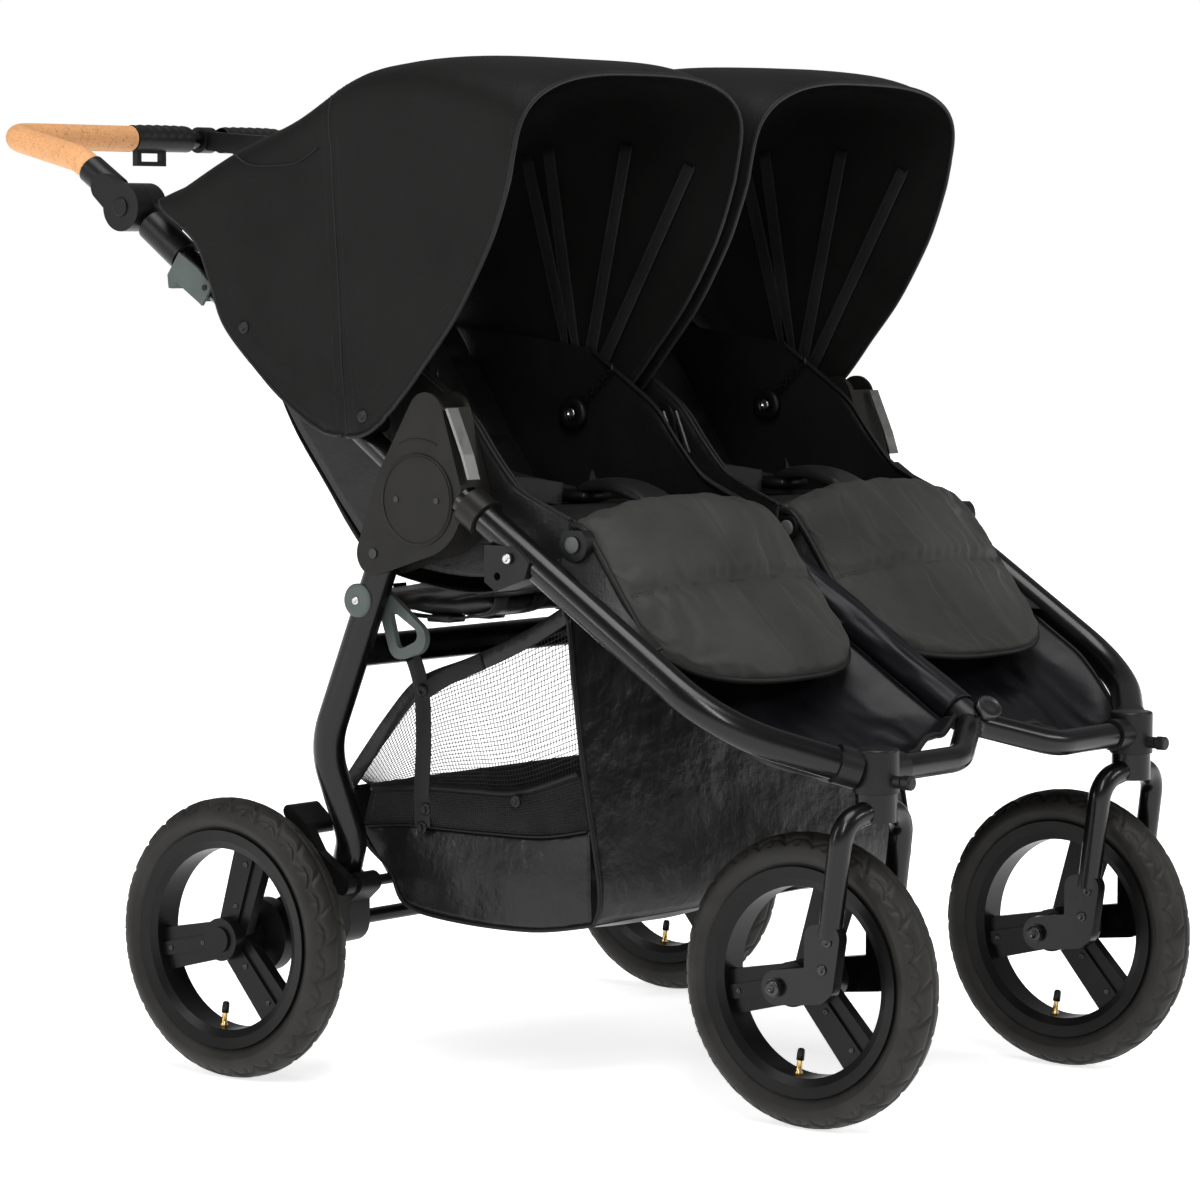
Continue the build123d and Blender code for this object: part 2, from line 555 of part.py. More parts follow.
# ---------------------------------------------------------------- handlebar and its grips
CORK_START = 74.0
CORK_IN = 118.0
GRIP_RANGE = (28.0, 116.0)
BAR_END_X = 303.0        # the arms lean in to the bar's ends
KNEE_BEND, END_BEND = 50.0, 45.0
bar_start = along(GRIP_JOINT, BAR_KNEE, 34)
with BuildPart() as handlebar:
    bent_tube([at(-ARM_X, *bar_start), at(-ARM_X, *BAR_KNEE), at(-BAR_END_X, *BAR), at(BAR_END_X, *BAR),
               at(ARM_X, *BAR_KNEE), at(ARM_X, *bar_start)],
              [KNEE_BEND, END_BEND, END_BEND, KNEE_BEND], 10, 8)
save(handlebar.part, "handlebar_tube")

corks = []
for s in SIDES.values():
    with BuildPart() as cork:
        bent_tube([at(s * ARM_X, *along(GRIP_JOINT, BAR_KNEE, CORK_START)),
                   at(s * ARM_X, *BAR_KNEE), at(s * BAR_END_X, *BAR), at(s * CORK_IN, *BAR)],
                  [KNEE_BEND, END_BEND], 14, 10)
    corks.append(cork.part)
save(Compound(children=corks), "cork_grips")

grips = []
for s in SIDES.values():
    with BuildPart() as grip:
        bent_tube([at(s * GRIP_RANGE[0], *BAR), at(s * GRIP_RANGE[1], *BAR)], None, 14, 10)
        if s < 0:
            plate(-112, -66, [(BAR[0] - 5, BAR[1] - 30), (BAR[0] + 2, BAR[1] - 30),
                              (BAR[0] + 2, BAR[1] - 12), (BAR[0] - 5, BAR[1] - 12)])
            plate(-105, -73, [(BAR[0] - 9, BAR[1] - 25), (BAR[0] + 9, BAR[1] - 25),
                              (BAR[0] + 9, BAR[1] - 16), (BAR[0] - 9, BAR[1] - 16)],
                  Mode.SUBTRACT)
            cross_rod(-130, -20, BAR, 10, Mode.SUBTRACT)
    grips.append(grip.part)
save(Compound(children=grips), "rubber_grips")

# ---------------------------------------------------------------- seats
SEAT_OUTLINE = [(-180, 532), (-300, 523), (-408, 550), (-414, 586), (-350, 590), (-260, 578),
                (-182, 574)]
BACK_ANGLE = 55.0
BACK_LENGTH = 400.0
BACK_T = 17.0
PAD_START, PAD_END = (-420.0, 566.0), (-578.0, 410.0)

for name, s in SIDES.items():
    with BuildPart() as base:
        plate(s * SEAT_IN, s * SEAT_OUT, SEAT_OUTLINE)
        fillet(base.edges().filter_by(Axis.X), 8)
    save(base.part, f"{name}_seat_base")

    top = (BACK_HINGE[0] + BACK_LENGTH * cos(radians(BACK_ANGLE)),
           BACK_HINGE[1] + BACK_LENGTH * sin(radians(BACK_ANGLE)))
    with BuildPart() as back:
        plate(s * 28, s * SEAT_OUT, [along(BACK_HINGE, top, 14, -BACK_T),
                                     along(BACK_HINGE, top, 14, BACK_T),
                                     along(BACK_HINGE, top, BACK_LENGTH, BACK_T),
                                     along(BACK_HINGE, top, BACK_LENGTH, -BACK_T)])
        fillet(back.edges().filter_by(Axis.X), 8)
        cross_rod(s * 28, s * SEAT_OUT, BACK_HINGE, BACK_T)
    save(back.part, f"{name}_backrest")

    with BuildPart() as pad:
        plate(s * 24, s * SEAT_OUT, [PAD_START, along(PAD_START, PAD_END, 0, -20),
                                     along(PAD_START, PAD_END, 222, -20),
                                     along(PAD_START, PAD_END, 222, 0)])
        fillet(pad.edges().filter_by(Axis.X), 6)
    save(pad.part, f"{name}_leg_pad")

WELL_PLAN = [(18, -430), (332, -430), (332, -552), (317, -592), (288, -624), (256, -642), (18, -642)]
wells = []
for s in SIDES.values():
    with BuildPart() as well:
        plate(s * 20, s * 330, [(-434, 517), (-640, 383), (-640, 366), (-560, 385), (-434, 503)])
        plate(s * 24, s * 326, [(-420, 560), (-660, 420), (-660, 366), (-562, 391), (-420, 522)],
              Mode.SUBTRACT)
        with BuildSketch(Plane.XY.offset(300)):
            with BuildLine():
                Polyline(*[(s * x, AXLE_Y + y) for x, y in WELL_PLAN], close=True)
            make_face()
        extrude(amount=300, mode=Mode.INTERSECT)
    wells.append(well.part)
save(Compound(children=wells), "footwell")

MOUNT = (-419.0, 561.0)
MOUNT_R = 17.0
MOUNT_X = (318.0, 334.0)
SOCKET = (5.0, 19.0)      # bumper bar socket: radius and depth, straight down from the flat top
mounts = []
for s in SIDES.values():
    low, high = (s * v for v in MOUNT_X)
    middle, top = s * sum(MOUNT_X) / 2, MOUNT[1] + 14
    with BuildPart() as socket:
        cross_rod(low, high, MOUNT, MOUNT_R)
        cross_rod(high, high + s * 1.5, MOUNT, 8)
        plate(low, high, [(MOUNT[0] - 20, top), (MOUNT[0] + 20, top), (MOUNT[0] + 20, top + 9),
                          (MOUNT[0] - 20, top + 9)], Mode.SUBTRACT)
        rod(at(middle, MOUNT[0], top - SOCKET[1]), at(middle, MOUNT[0], top + 5), SOCKET[0],
            Mode.SUBTRACT)
    with BuildPart() as disc:
        cross_rod(s * 15, s * 19.5, MOUNT, 12)
        cross_rod(s * 14, s * 15, MOUNT, 8)
    mounts += [socket.part, disc.part]
save(Compound(children=mounts), "bumper_bar_mounts")

buckles = []
for s in SIDES.values():
    with BuildPart() as buckle:
        with Locations(at(s * 168, -300, 597)):
            Box(52, 40, 14)
        fillet(buckle.edges().filter_by(Axis.Z), 8)
    buckles.append(buckle.part)
save(Compound(children=buckles), "harness_buckles")

# ---------------------------------------------------------------- basket
BASKET_X = 270.0
BASKET = [(-66, 298), (-90, 245), (-134, 228), (-134, 205), (-146, 176), (-210, 163), (-312, 164),
          (-392, 176), (-398, 217), (-375, 343), (-360, 487), (-268, 443), (-185, 415),
          (-157, 401)]
BASKET_HOLLOW = [(-60, 310), (-93, 249), (-138, 232), (-138, 206), (-148, 180), (-210, 167),
                 (-312, 168), (-388, 180), (-394, 217), (-371, 343), (-356, 520), (-150, 520)]
with BuildPart() as basket:
    plate(-BASKET_X, BASKET_X, BASKET)
    plate(-BASKET_X + 4, BASKET_X - 4, BASKET_HOLLOW, Mode.SUBTRACT)
save(basket.part, "basket")

# ---------------------------------------------------------------- canopies
SHELL = 3.0
REAR_ROOF = [(106, 898), (1, 946), (-81, 975), (-150, 1008), (-176, 1017)]
REAR_EDGE = [(-172, 690), (-160, 668), (-137, 660), (-57, 709), (-4, 752), (18, 794), (45, 855),
             (101, 893)]
REAR_SHELL_X = (12.5, 368.5)
FRONT_REGION = [(-176, 700), (-186, 1065), (-440, 1065), (-409, 990), (-384, 930), (-357, 872),
                (-322, 812), (-284, 757), (-245, 715), (-200, 690)]
FRONT_SHELL_X = (9.5, 371.5)
ROOF_R, EAVE_R = 374.0, 366.0


def hood_section(x_low, x_high, roof_r, eave_r, corner):
    """Upside-down U across the seat: straight sides, rounded eaves and a crowned roof."""
    middle = (x_low + x_high) / 2
    with BuildSketch(Plane(origin=at(0, *CANOPY_HINGE), x_dir=(1, 0, 0), z_dir=(0, -1, 0)),
                     mode=Mode.PRIVATE) as section:
        cut = corner * (1 - cos(radians(45)))
        with BuildLine():
            Polyline((x_high, eave_r - corner), (x_high, 5), (x_low, 5), (x_low, eave_r - corner))
            ThreePointArc((x_low, eave_r - corner), (x_low + cut, eave_r - cut),
                          (x_low + corner, eave_r))
            ThreePointArc((x_low + corner, eave_r), (middle, roof_r), (x_high - corner, eave_r))
            ThreePointArc((x_high - corner, eave_r), (x_high - cut, eave_r - cut),
                          (x_high, eave_r - corner))
        make_face()
    return section.sketch


def hood_block(low, high, outline, corner):
    """A solid block of a hood's profile with its eaves cut off at a slant."""
    with BuildPart() as block:
        plate(low, high, outline)
        chamfer(block.edges().filter_by(lambda e: e.center().Z > 880 and 20 < e.length < 200), corner)
    return block.part


def hinge_axis():
    return Axis(at(0, *CANOPY_HINGE), (1, 0, 0))


low, high = FRONT_SHELL_X
with BuildPart() as front:
    plate(low, high, FRONT_REGION)
    revolve(hood_section(low, high, ROOF_R, EAVE_R, 46), axis=hinge_axis(), mode=Mode.INTERSECT)
    revolve(hood_section(low + 2.5, high - 2.5, ROOF_R - SHELL, EAVE_R - SHELL, 43.5),
            axis=hinge_axis(), mode=Mode.SUBTRACT)
save(mirror(front.part, about=Plane.YZ), "right_canopy_front")
save(front.part, "left_canopy_front")

low, high = REAR_SHELL_X
ceiling = [along(REAR_ROOF[1], REAR_ROOF[0], 152, SHELL)]
ceiling += [(y, z - SHELL) for y, z in REAR_ROOF[1:-1]]
ceiling += [along(REAR_ROOF[-2], REAR_ROOF[-1], 70, SHELL)]
outer = hood_block(low, high, REAR_ROOF + REAR_EDGE, 18)
hollow = hood_block(low + 2.5, high - 2.5, ceiling + [(-215, 600), (140, 600)], 16.5)
with BuildPart() as rear:
    add(outer)
    add(hollow, mode=Mode.SUBTRACT)
save(mirror(rear.part, about=Plane.YZ), "right_canopy_rear")
save(rear.part, "left_canopy_rear")

hinges = []
for s in SIDES.values():
    with BuildPart() as boss:
        cross_rod(s * 333, s * 357, CANOPY_HINGE, 11)
        rod(at(s * ARM_X, *HUB), at(s * ARM_X, *GRIP_JOINT), ARM_R, Mode.SUBTRACT)
    with BuildPart() as disc:
        cross_rod(s * 15.8, s * 19.2, CANOPY_HINGE, 14)
    hinges += [boss.part, disc.part]
save(Compound(children=hinges), "canopy_hinges")
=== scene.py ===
"""Looks of the double jogging stroller: fabric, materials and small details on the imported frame.

Places are written in millimetres as (x, y, z): x across, y behind the rear axle, z above the
floor. A profile point is (y, z). at() turns them into metres in the frame's own axes.
"""
import json
import math
import random

import bpy
from mathutils import Matrix, Vector, noise


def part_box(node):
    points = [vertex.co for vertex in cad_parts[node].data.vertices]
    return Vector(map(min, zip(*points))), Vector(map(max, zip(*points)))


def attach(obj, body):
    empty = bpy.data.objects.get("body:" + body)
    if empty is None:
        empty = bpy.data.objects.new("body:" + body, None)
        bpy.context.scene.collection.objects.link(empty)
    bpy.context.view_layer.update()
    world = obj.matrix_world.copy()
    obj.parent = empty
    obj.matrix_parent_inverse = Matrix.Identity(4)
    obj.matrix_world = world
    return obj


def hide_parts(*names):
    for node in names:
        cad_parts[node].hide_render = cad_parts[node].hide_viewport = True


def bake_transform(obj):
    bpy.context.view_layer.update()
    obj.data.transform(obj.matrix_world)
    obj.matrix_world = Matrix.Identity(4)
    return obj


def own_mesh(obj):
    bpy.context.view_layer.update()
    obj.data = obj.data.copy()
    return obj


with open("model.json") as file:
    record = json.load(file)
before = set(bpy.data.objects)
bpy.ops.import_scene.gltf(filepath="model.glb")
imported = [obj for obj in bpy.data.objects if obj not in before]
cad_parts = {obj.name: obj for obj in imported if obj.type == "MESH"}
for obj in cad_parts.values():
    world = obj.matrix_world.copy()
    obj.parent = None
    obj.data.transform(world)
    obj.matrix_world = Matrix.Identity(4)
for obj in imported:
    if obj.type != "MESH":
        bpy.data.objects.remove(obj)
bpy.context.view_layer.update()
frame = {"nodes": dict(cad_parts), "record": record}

SIDES = {"right": -1, "left": 1}
WHEEL_LOW, WHEEL_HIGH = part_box("right_rear_tyre")
AXLE_Y = (WHEEL_LOW[1] + WHEEL_HIGH[1]) / 2
WHEEL_R = (WHEEL_HIGH[2] - WHEEL_LOW[2]) / 2 * 1000
REAR_X, FRONT_X, FRONT_AXLE_Y = 366.5, 226.0, -626.0
HUB = (-248, 600)
HOOD_HINGE = (-174, 674)
MM = 0.001


# ---------------------------------------------------------------- places and curves
def at(x, y, z):
    return Vector((x * MM, AXLE_Y + y * MM, z * MM))


def smooth_line(points, count):
    """Evenly spaced points along a smooth curve through the given ones."""
    given = [Vector(p) for p in points]
    dense = []
    for i in range(len(given) - 1):
        a, b = given[max(i - 1, 0)], given[i]
        c, d = given[i + 1], given[min(i + 2, len(given) - 1)]
        for step in range(12):
            t = step / 12
            dense.append(0.5 * (2 * b + (c - a) * t + (2 * a - 5 * b + 4 * c - d) * t * t
                                + (3 * b - a - 3 * c + d) * t ** 3))
    dense.append(given[-1])
    lengths = [0.0]
    for p, q in zip(dense, dense[1:]):
        lengths.append(lengths[-1] + (q - p).length)
    out, i = [], 0
    for k in range(count):
        goal = lengths[-1] * k / (count - 1)
        while i < len(lengths) - 2 and lengths[i + 1] < goal:
            i += 1
        share = (goal - lengths[i]) / max(lengths[i + 1] - lengths[i], 1e-9)
        out.append(dense[i].lerp(dense[i + 1], min(share, 1.0)))
    return out


def profile_at(x, points, count):
    """Places along a smooth profile curve, at one distance across."""
    return [at(x, y, z) for y, z in smooth_line(points, count)]


def ripple(point, size, depth):
    """A soft random height for cloth, in depth's unit; size is a wrinkle's width in metres."""
    return noise.noise(Vector(point) / size) * depth


# ---------------------------------------------------------------- materials
class Shade:
    """A small helper that builds one procedural material node by node."""

    def __init__(self, name, colour, roughness, **sockets):
        self.material = bpy.data.materials.new(name)
        self.material.use_nodes = True
        self.tree = self.material.node_tree
        self.base = self.tree.nodes["Principled BSDF"]
        self.base.inputs["Base Color"].default_value = (*colour, 1)
        self.base.inputs["Roughness"].default_value = roughness
        for socket, value in sockets.items():
            self.base.inputs[socket.replace("_", " ")].default_value = value
        self.place = self.node("ShaderNodeTexCoord").outputs["Object"]
        self.normal = None

    def node(self, kind, **values):
        made = self.tree.nodes.new(kind)
        for key, value in values.items():
            setattr(made, key, value)
        return made

    def link(self, source, target):
        self.tree.links.new(source, target)

    def noise(self, scale, detail=3.0, stretch=None):
        texture = self.node("ShaderNodeTexNoise")
        texture.inputs["Scale"].default_value = scale
        texture.inputs["Detail"].default_value = detail
        source = self.place
        if stretch:
            mapping = self.node("ShaderNodeMapping")
            mapping.inputs["Scale"].default_value = stretch
            self.link(self.place, mapping.inputs["Vector"])
            source = mapping.outputs["Vector"]
        self.link(source, texture.inputs["Vector"])
        return texture.outputs["Fac"]

    def math(self, operation, a, b=None):
        made = self.node("ShaderNodeMath", operation=operation)
        for socket, value in zip(made.inputs, (a, b)):
            if hasattr(value, "links"):
                self.link(value, socket)
            elif value is not None:
                socket.default_value = value
        return made.outputs[0]

    def weave(self, pitch):
        """Threads about a pitch apart, running along x, y and z."""
        long, fine = 0.09, 0.45 / pitch
        along = [self.noise(fine, 1.0, stretch) for stretch in
                 ((long, 1, 1), (1, long, 1), (1, 1, long))]
        return self.math("ADD", self.math("ADD", along[0], along[1]), along[2])

    def bump(self, height, distance, strength=1.0):
        made = self.node("ShaderNodeBump")
        made.inputs["Distance"].default_value = distance
        made.inputs["Strength"].default_value = strength
        self.link(height, made.inputs["Height"])
        if self.normal:
            self.link(self.normal, made.inputs["Normal"])
        self.normal = made.outputs["Normal"]
        self.link(self.normal, self.base.inputs["Normal"])

    def spread(self, factor, low, high, socket="Base Color", start=0.3, end=0.7):
        """Colour or value that drifts from low to high with a texture."""
        ramp = self.node("ShaderNodeValToRGB")
        ramp.color_ramp.elements[0].position = start
        ramp.color_ramp.elements[1].position = end
        for element, value in zip(ramp.color_ramp.elements, (low, high)):
            element.color = (*value, 1) if hasattr(value, "__len__") else (value,) * 3 + (1,)
        self.link(factor, ramp.inputs["Fac"])
        self.link(ramp.outputs["Color"], self.base.inputs[socket])


def cloth_material(name, low, high, roughness, pitch, sheen=0.02, thread=0.0003, gloss=0.15,
                   crumple=0.0015):
    shade = Shade(name, low, roughness, Sheen_Weight=sheen, Sheen_Roughness=0.5,
                  Specular_IOR_Level=gloss)
    shade.spread(shade.noise(9.0, 6.0), low, high)
    shade.bump(shade.noise(26.0, 4.0), crumple, 0.5)
    shade.bump(shade.weave(pitch), thread, 0.6)
    return shade.material


def coated_material():
    shade = Shade("coated_fabric", (0.0045, 0.0045, 0.0058), 0.4, Specular_IOR_Level=0.13)
    shade.spread(shade.noise(14.0, 5.0), 0.32, 0.5, "Roughness")
    shade.bump(shade.noise(16.0, 3.0, (1.0, 0.45, 1.0)), 0.006, 0.5)
    shade.bump(shade.noise(60.0, 3.0), 0.0012, 0.4)
    shade.bump(shade.weave(0.0008), 0.0001, 0.4)
    return shade.material


def paint_material():
    shade = Shade("powder_coat", (0.0022, 0.0022, 0.0022), 0.22, Specular_IOR_Level=0.22,
                  Coat_Weight=0.1, Coat_Roughness=0.08)
    shade.spread(shade.noise(20.0, 4.0), 0.2, 0.29, "Roughness")
    shade.bump(shade.noise(900.0, 2.0), 0.0002, 0.25)
    return shade.material


def plastic_material(name, low, high, roughness, grain=1400.0, gloss=0.2):
    shade = Shade(name, low, roughness, Specular_IOR_Level=gloss)
    shade.spread(shade.noise(30.0, 4.0), low, high)
    shade.bump(shade.noise(grain, 2.0), 0.0002, 0.4)
    return shade.material


def rubber_material(name, low, high, roughness):
    shade = Shade(name, low, roughness, Specular_IOR_Level=0.2)
    shade.spread(shade.noise(25.0, 6.0), low, high)
    shade.bump(shade.noise(700.0, 3.0), 0.0003, 0.5)
    return shade.material


def cork_material():
    shade = Shade("cork", (0.45, 0.22, 0.09), 0.62, Specular_IOR_Level=0.35)
    grains = shade.node("ShaderNodeTexVoronoi")
    grains.inputs["Scale"].default_value = 420.0
    shade.link(shade.place, grains.inputs["Vector"])
    mixed = shade.math("ADD", shade.math("MULTIPLY", grains.outputs["Distance"], 0.6),
                       shade.math("MULTIPLY", shade.noise(170.0, 6.0), 0.7))
    shade.spread(mixed, (0.30, 0.122, 0.041), (0.60, 0.30, 0.127), start=0.32, end=0.62)
    shade.bump(mixed, 0.0005, 0.35)
    return shade.material


def metal_material(name, colour, roughness, stretch):
    shade = Shade(name, colour, roughness, Metallic=1.0)
    shade.spread(shade.noise(260.0, 3.0, stretch), roughness - 0.08, roughness + 0.1, "Roughness")
    shade.bump(shade.noise(500.0, 2.0, stretch), 0.0001, 0.25)
    return shade.material


HOOD = cloth_material("hood_fabric", (0.0050, 0.0050, 0.0048), (0.0074, 0.0074, 0.0071), 0.55,
                      0.0011, sheen=0.005, gloss=0.08, crumple=0.003)
LINING = cloth_material("seat_lining", (0.0058, 0.0058, 0.0058), (0.0092, 0.0092, 0.0090), 0.42,
                        0.0012, sheen=0.008, gloss=0.22, crumple=0.006)
QUILT = cloth_material("quilted_fabric", (0.015, 0.015, 0.0134), (0.029, 0.029, 0.0262), 0.6,
                       0.0014, sheen=0.03, crumple=0.004)
BASKET_CLOTH = cloth_material("basket_fabric", (0.0048, 0.0048, 0.0048), (0.0075, 0.0075, 0.0075),
                              0.31, 0.0009, sheen=0.006, thread=0.00012, gloss=0.24,
                              crumple=0.007)
WEBBING = cloth_material("webbing", (0.008, 0.008, 0.008), (0.016, 0.016, 0.016), 0.6, 0.002,
                         sheen=0.01, thread=0.0006)
PIPING = cloth_material("piping", (0.006, 0.006, 0.006), (0.010, 0.010, 0.0097), 0.45, 0.0016,
                        sheen=0.01)
STITCH = plastic_material("stitching", (0.009, 0.009, 0.0087), (0.015, 0.015, 0.0145), 0.6)
MESH_CLOTH = plastic_material("mesh_thread", (0.011, 0.011, 0.011), (0.018, 0.018, 0.018), 0.6)
COATED = coated_material()
PAINT = paint_material()
PLASTIC = plastic_material("black_plastic", (0.004, 0.004, 0.004), (0.007, 0.007, 0.0067), 0.36)
HOUSING = plastic_material("housing_plastic", (0.0065, 0.0062, 0.0053),
                           (0.0105, 0.010, 0.0085), 0.38, gloss=0.16)
SLATE = plastic_material("slate_plastic", (0.055, 0.068, 0.064), (0.072, 0.086, 0.081), 0.48)
CAP_GREY = plastic_material("cap_grey", (0.060, 0.066, 0.062), (0.080, 0.086, 0.082), 0.5)
RIM = plastic_material("rim_black", (0.0025, 0.0025, 0.0025), (0.0045, 0.0045, 0.0045), 0.3,
                       gloss=0.15)
TYRE = rubber_material("tyre_rubber", (0.008, 0.0076, 0.0066), (0.017, 0.0162, 0.014), 0.5)
GRIP = rubber_material("grip_rubber", (0.006, 0.006, 0.006), (0.010, 0.010, 0.010), 0.42)
CORK = cork_material()
SATIN = metal_material("satin_trim", (0.20, 0.20, 0.195), 0.38, (1.0, 1.0, 0.1))
STEEL = metal_material("steel", (0.50, 0.50, 0.49), 0.3, (1.0, 1.0, 1.0))
DARK_STEEL = metal_material("dark_steel", (0.05, 0.05, 0.05), 0.35, (1.0, 1.0, 1.0))
BRASS = metal_material("brass", (0.62, 0.42, 0.16), 0.28, (1.0, 1.0, 1.0))

CAD_LOOKS = {
    "right_hub_housing": HOUSING, "left_hub_housing": HOUSING, "hub_covers": HOUSING,
    "metal_trim": SATIN, "pivot_pins_and_screws": DARK_STEEL, "rear_axles_and_pin": STEEL,
}
SLOT_LOOKS = {
    "frame_paint": PAINT, "black_plastic": PLASTIC, "slate_plastic": SLATE, "satin_trim": SATIN,
    "steel": DARK_STEEL, "tyre_rubber": TYRE, "rim_plastic": RIM, "grip_rubber": GRIP,
    "cork": CORK, "hood_fabric": HOOD, "seat_fabric": LINING, "coated_fabric": COATED,
    "basket_fabric": BASKET_CLOTH,
}
for subpart in frame["record"]["subparts"]:
    look = CAD_LOOKS.get(subpart["node"], SLOT_LOOKS[subpart["material_slot"]])
    for holder in frame["nodes"][subpart["node"]].material_slots:
        holder.material = look


# ---------------------------------------------------------------- mesh makers
def make_object(name, verts, faces, material, smooth=True):
    mesh = bpy.data.meshes.new(name)
    mesh.from_pydata([tuple(v) for v in verts], [], faces)
    mesh.validate()
    mesh.materials.append(material)
    mesh.polygons.foreach_set("use_smooth", [smooth] * len(mesh.polygons))
    made = bpy.data.objects.new(name, mesh)
    bpy.context.scene.collection.objects.link(made)
    return made


def bake(made):
    """Applies a piece's modifiers, so that its mesh is final."""
    bpy.context.view_layer.update()
    graph = bpy.context.evaluated_depsgraph_get()
    mesh = bpy.data.meshes.new_from_object(made.evaluated_get(graph))
    made.modifiers.clear()
    made.data = mesh
    return made


def grid_faces(rows, columns, wrap=False, base=0):
    faces = []
    for i in range(rows - 1):
        for j in range(columns if wrap else columns - 1):
            k = (j + 1) % columns
            faces.append((base + i * columns + j, base + i * columns + k,
                          base + (i + 1) * columns + k, base + (i + 1) * columns + j))
    return faces


def capped_faces(rings, sides, base=0):
    """Faces of a skin over rings of points, closed by a flat cap at each end."""
    last = base + (rings - 1) * sides
    return grid_faces(rings, sides, True, base) + [
        tuple(base + j for j in range(sides))[::-1], tuple(last + j for j in range(sides))]


def cloth(name, rows, thickness, material):
    """A sheet of cloth through a grid of points, with a real thickness in millimetres."""
    made = make_object(name, [p for row in rows for p in row],
                       grid_faces(len(rows), len(rows[0])), material)
    solid = made.modifiers.new("thickness", "SOLIDIFY")
    solid.thickness = thickness * MM
    solid.offset = 0.0
    return bake(made)


def rings_along(path, section, closed=False):
    """Copies of a section square to a path; section gives (side, up) pairs, for 0 to 1 along."""
    points = [Vector(p) for p in path]
    rings, normal = [], None
    for i, point in enumerate(points):
        before = points[i - 1] if i or closed else point
        after = points[(i + 1) % len(points)] if closed or i < len(points) - 1 else point
        tangent = (after - before).normalized()
        if normal is None:
            reference = Vector((0, 0, 1)) if abs(tangent.z) < 0.9 else Vector((0, 1, 0))
            normal = tangent.cross(reference).normalized()
        normal = (normal - tangent * normal.dot(tangent)).normalized()
        up = tangent.cross(normal)
        outline = section(i / max(len(points) - 1, 1))
        rings.append([point + normal * a + up * b for a, b in outline])
    return rings


def tube(name, path, radius, material, sides=10, closed=False):
    """A round cord, rod or piping; radius is in millimetres, a number or a function of 0 to 1."""
    def section(t):
        r = (radius(t) if callable(radius) else radius) * MM
        return [(r * math.cos(a), r * math.sin(a))
                for a in (2 * math.pi * k / sides for k in range(sides))]
    rings = rings_along(path, section, closed)
    if closed:
        last = (len(rings) - 1) * sides
        faces = grid_faces(len(rings), sides, True)
        faces += [(last + j, last + (j + 1) % sides, (j + 1) % sides, j) for j in range(sides)]
    else:
        faces = capped_faces(len(rings), sides)
    return make_object(name, [p for ring in rings for p in ring], faces, material)


def strap(name, path, across, width, thickness, material):
    """Flat webbing along a path; across is its width's direction, width and thickness in mm."""
    points = [Vector(p) for p in path]
    side = Vector(across).normalized()
    half, thick = width * MM / 2, thickness * MM / 2
    verts = []
    for i, point in enumerate(points):
        tangent = (points[min(i + 1, len(points) - 1)] - points[max(i - 1, 0)]).normalized()
        normal = side.cross(tangent).normalized()
        level = tangent.cross(normal).normalized()
        for a, b in ((-1, -0.5), (-0.9, -1), (0.9, -1), (1, -0.5), (1, 0.5), (0.9, 1),
                     (-0.9, 1), (-1, 0.5)):
            verts.append(point + level * half * a + normal * thick * b)
    return make_object(name, verts, capped_faces(len(points), 8), material)


def turned(name, place, axis, profile, material, sides=32):
    """A turned part, such as a bolt head or a snap; profile is (distance along, radius) in mm."""
    direction = Vector(axis).normalized()
    first = direction.orthogonal().normalized()
    second = direction.cross(first)
    verts = []
    for along, radius in profile:
        for k in range(sides):
            a = 2 * math.pi * k / sides
            verts.append(place + direction * along * MM
                         + (first * math.cos(a) + second * math.sin(a)) * radius * MM)
    return make_object(name, verts, capped_faces(len(profile), sides), material)


def screw(name, place, axis, radius, material, height=2.0):
    """A pan head with a hexagon socket."""
    dome = [(0, radius), (height * 0.55, radius), (height * 0.9, radius * 0.86),
            (height, radius * 0.62), (height, radius * 0.5), (height * 0.35, radius * 0.46),
            (height * 0.35, 0.05)]
    return turned(name, place, axis, dome, material, 24)


def stitches(name, path, length=3.2, gap=1.8, proud=0.35):
    """A row of thread stitches lying on a line; their length, gap and height are in mm."""
    total = sum((b - a).length for a, b in zip(path, path[1:]))
    count = max(int(total / ((length + gap) * MM)), 1)
    places = smooth_line(path, count * 3 + 1)
    verts, faces = [], []
    for k in range(count):
        a, b = places[3 * k], places[3 * k + 2]
        tangent = (b - a).normalized()
        one = tangent.orthogonal().normalized() * proud * MM
        two = tangent.cross(one)
        base = len(verts)
        for centre, size in ((a, 0.4), (a.lerp(b, 0.25), 1), (a.lerp(b, 0.75), 1), (b, 0.4)):
            verts += [centre + one * size, centre + two * size, centre - one * size,
                      centre - two * size]
        faces += capped_faces(4, 4, base)
    return make_object(name, verts, faces, STITCH)


def join(name, parts):
    """One piece from several meshes that move and look the same."""
    verts, faces = [], []
    for part in parts:
        base = len(verts)
        verts += [v.co.copy() for v in part.data.vertices]
        faces += [tuple(base + i for i in face.vertices) for face in part.data.polygons]
    material = parts[0].data.materials[0]
    for part in parts:
        bpy.data.objects.remove(part)
    return make_object(name, verts, faces, material)


def settle(piece, body, slot, *nodes):
    """Rides a piece on a body and hides the CAD nodes that it stands for; slot is not used."""
    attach(piece, body)
    if nodes:
        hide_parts(*nodes)
    return piece


# ---------------------------------------------------------------- cushions
def soft_rim(a, b, power_a, power_b):
    """How full a pad is: 1 in its middle and 0 at its edges, where a or b is -1 or 1."""
    return (max(1 - abs(a) ** power_a, 0) * max(1 - abs(b) ** power_b, 0)) ** 0.5


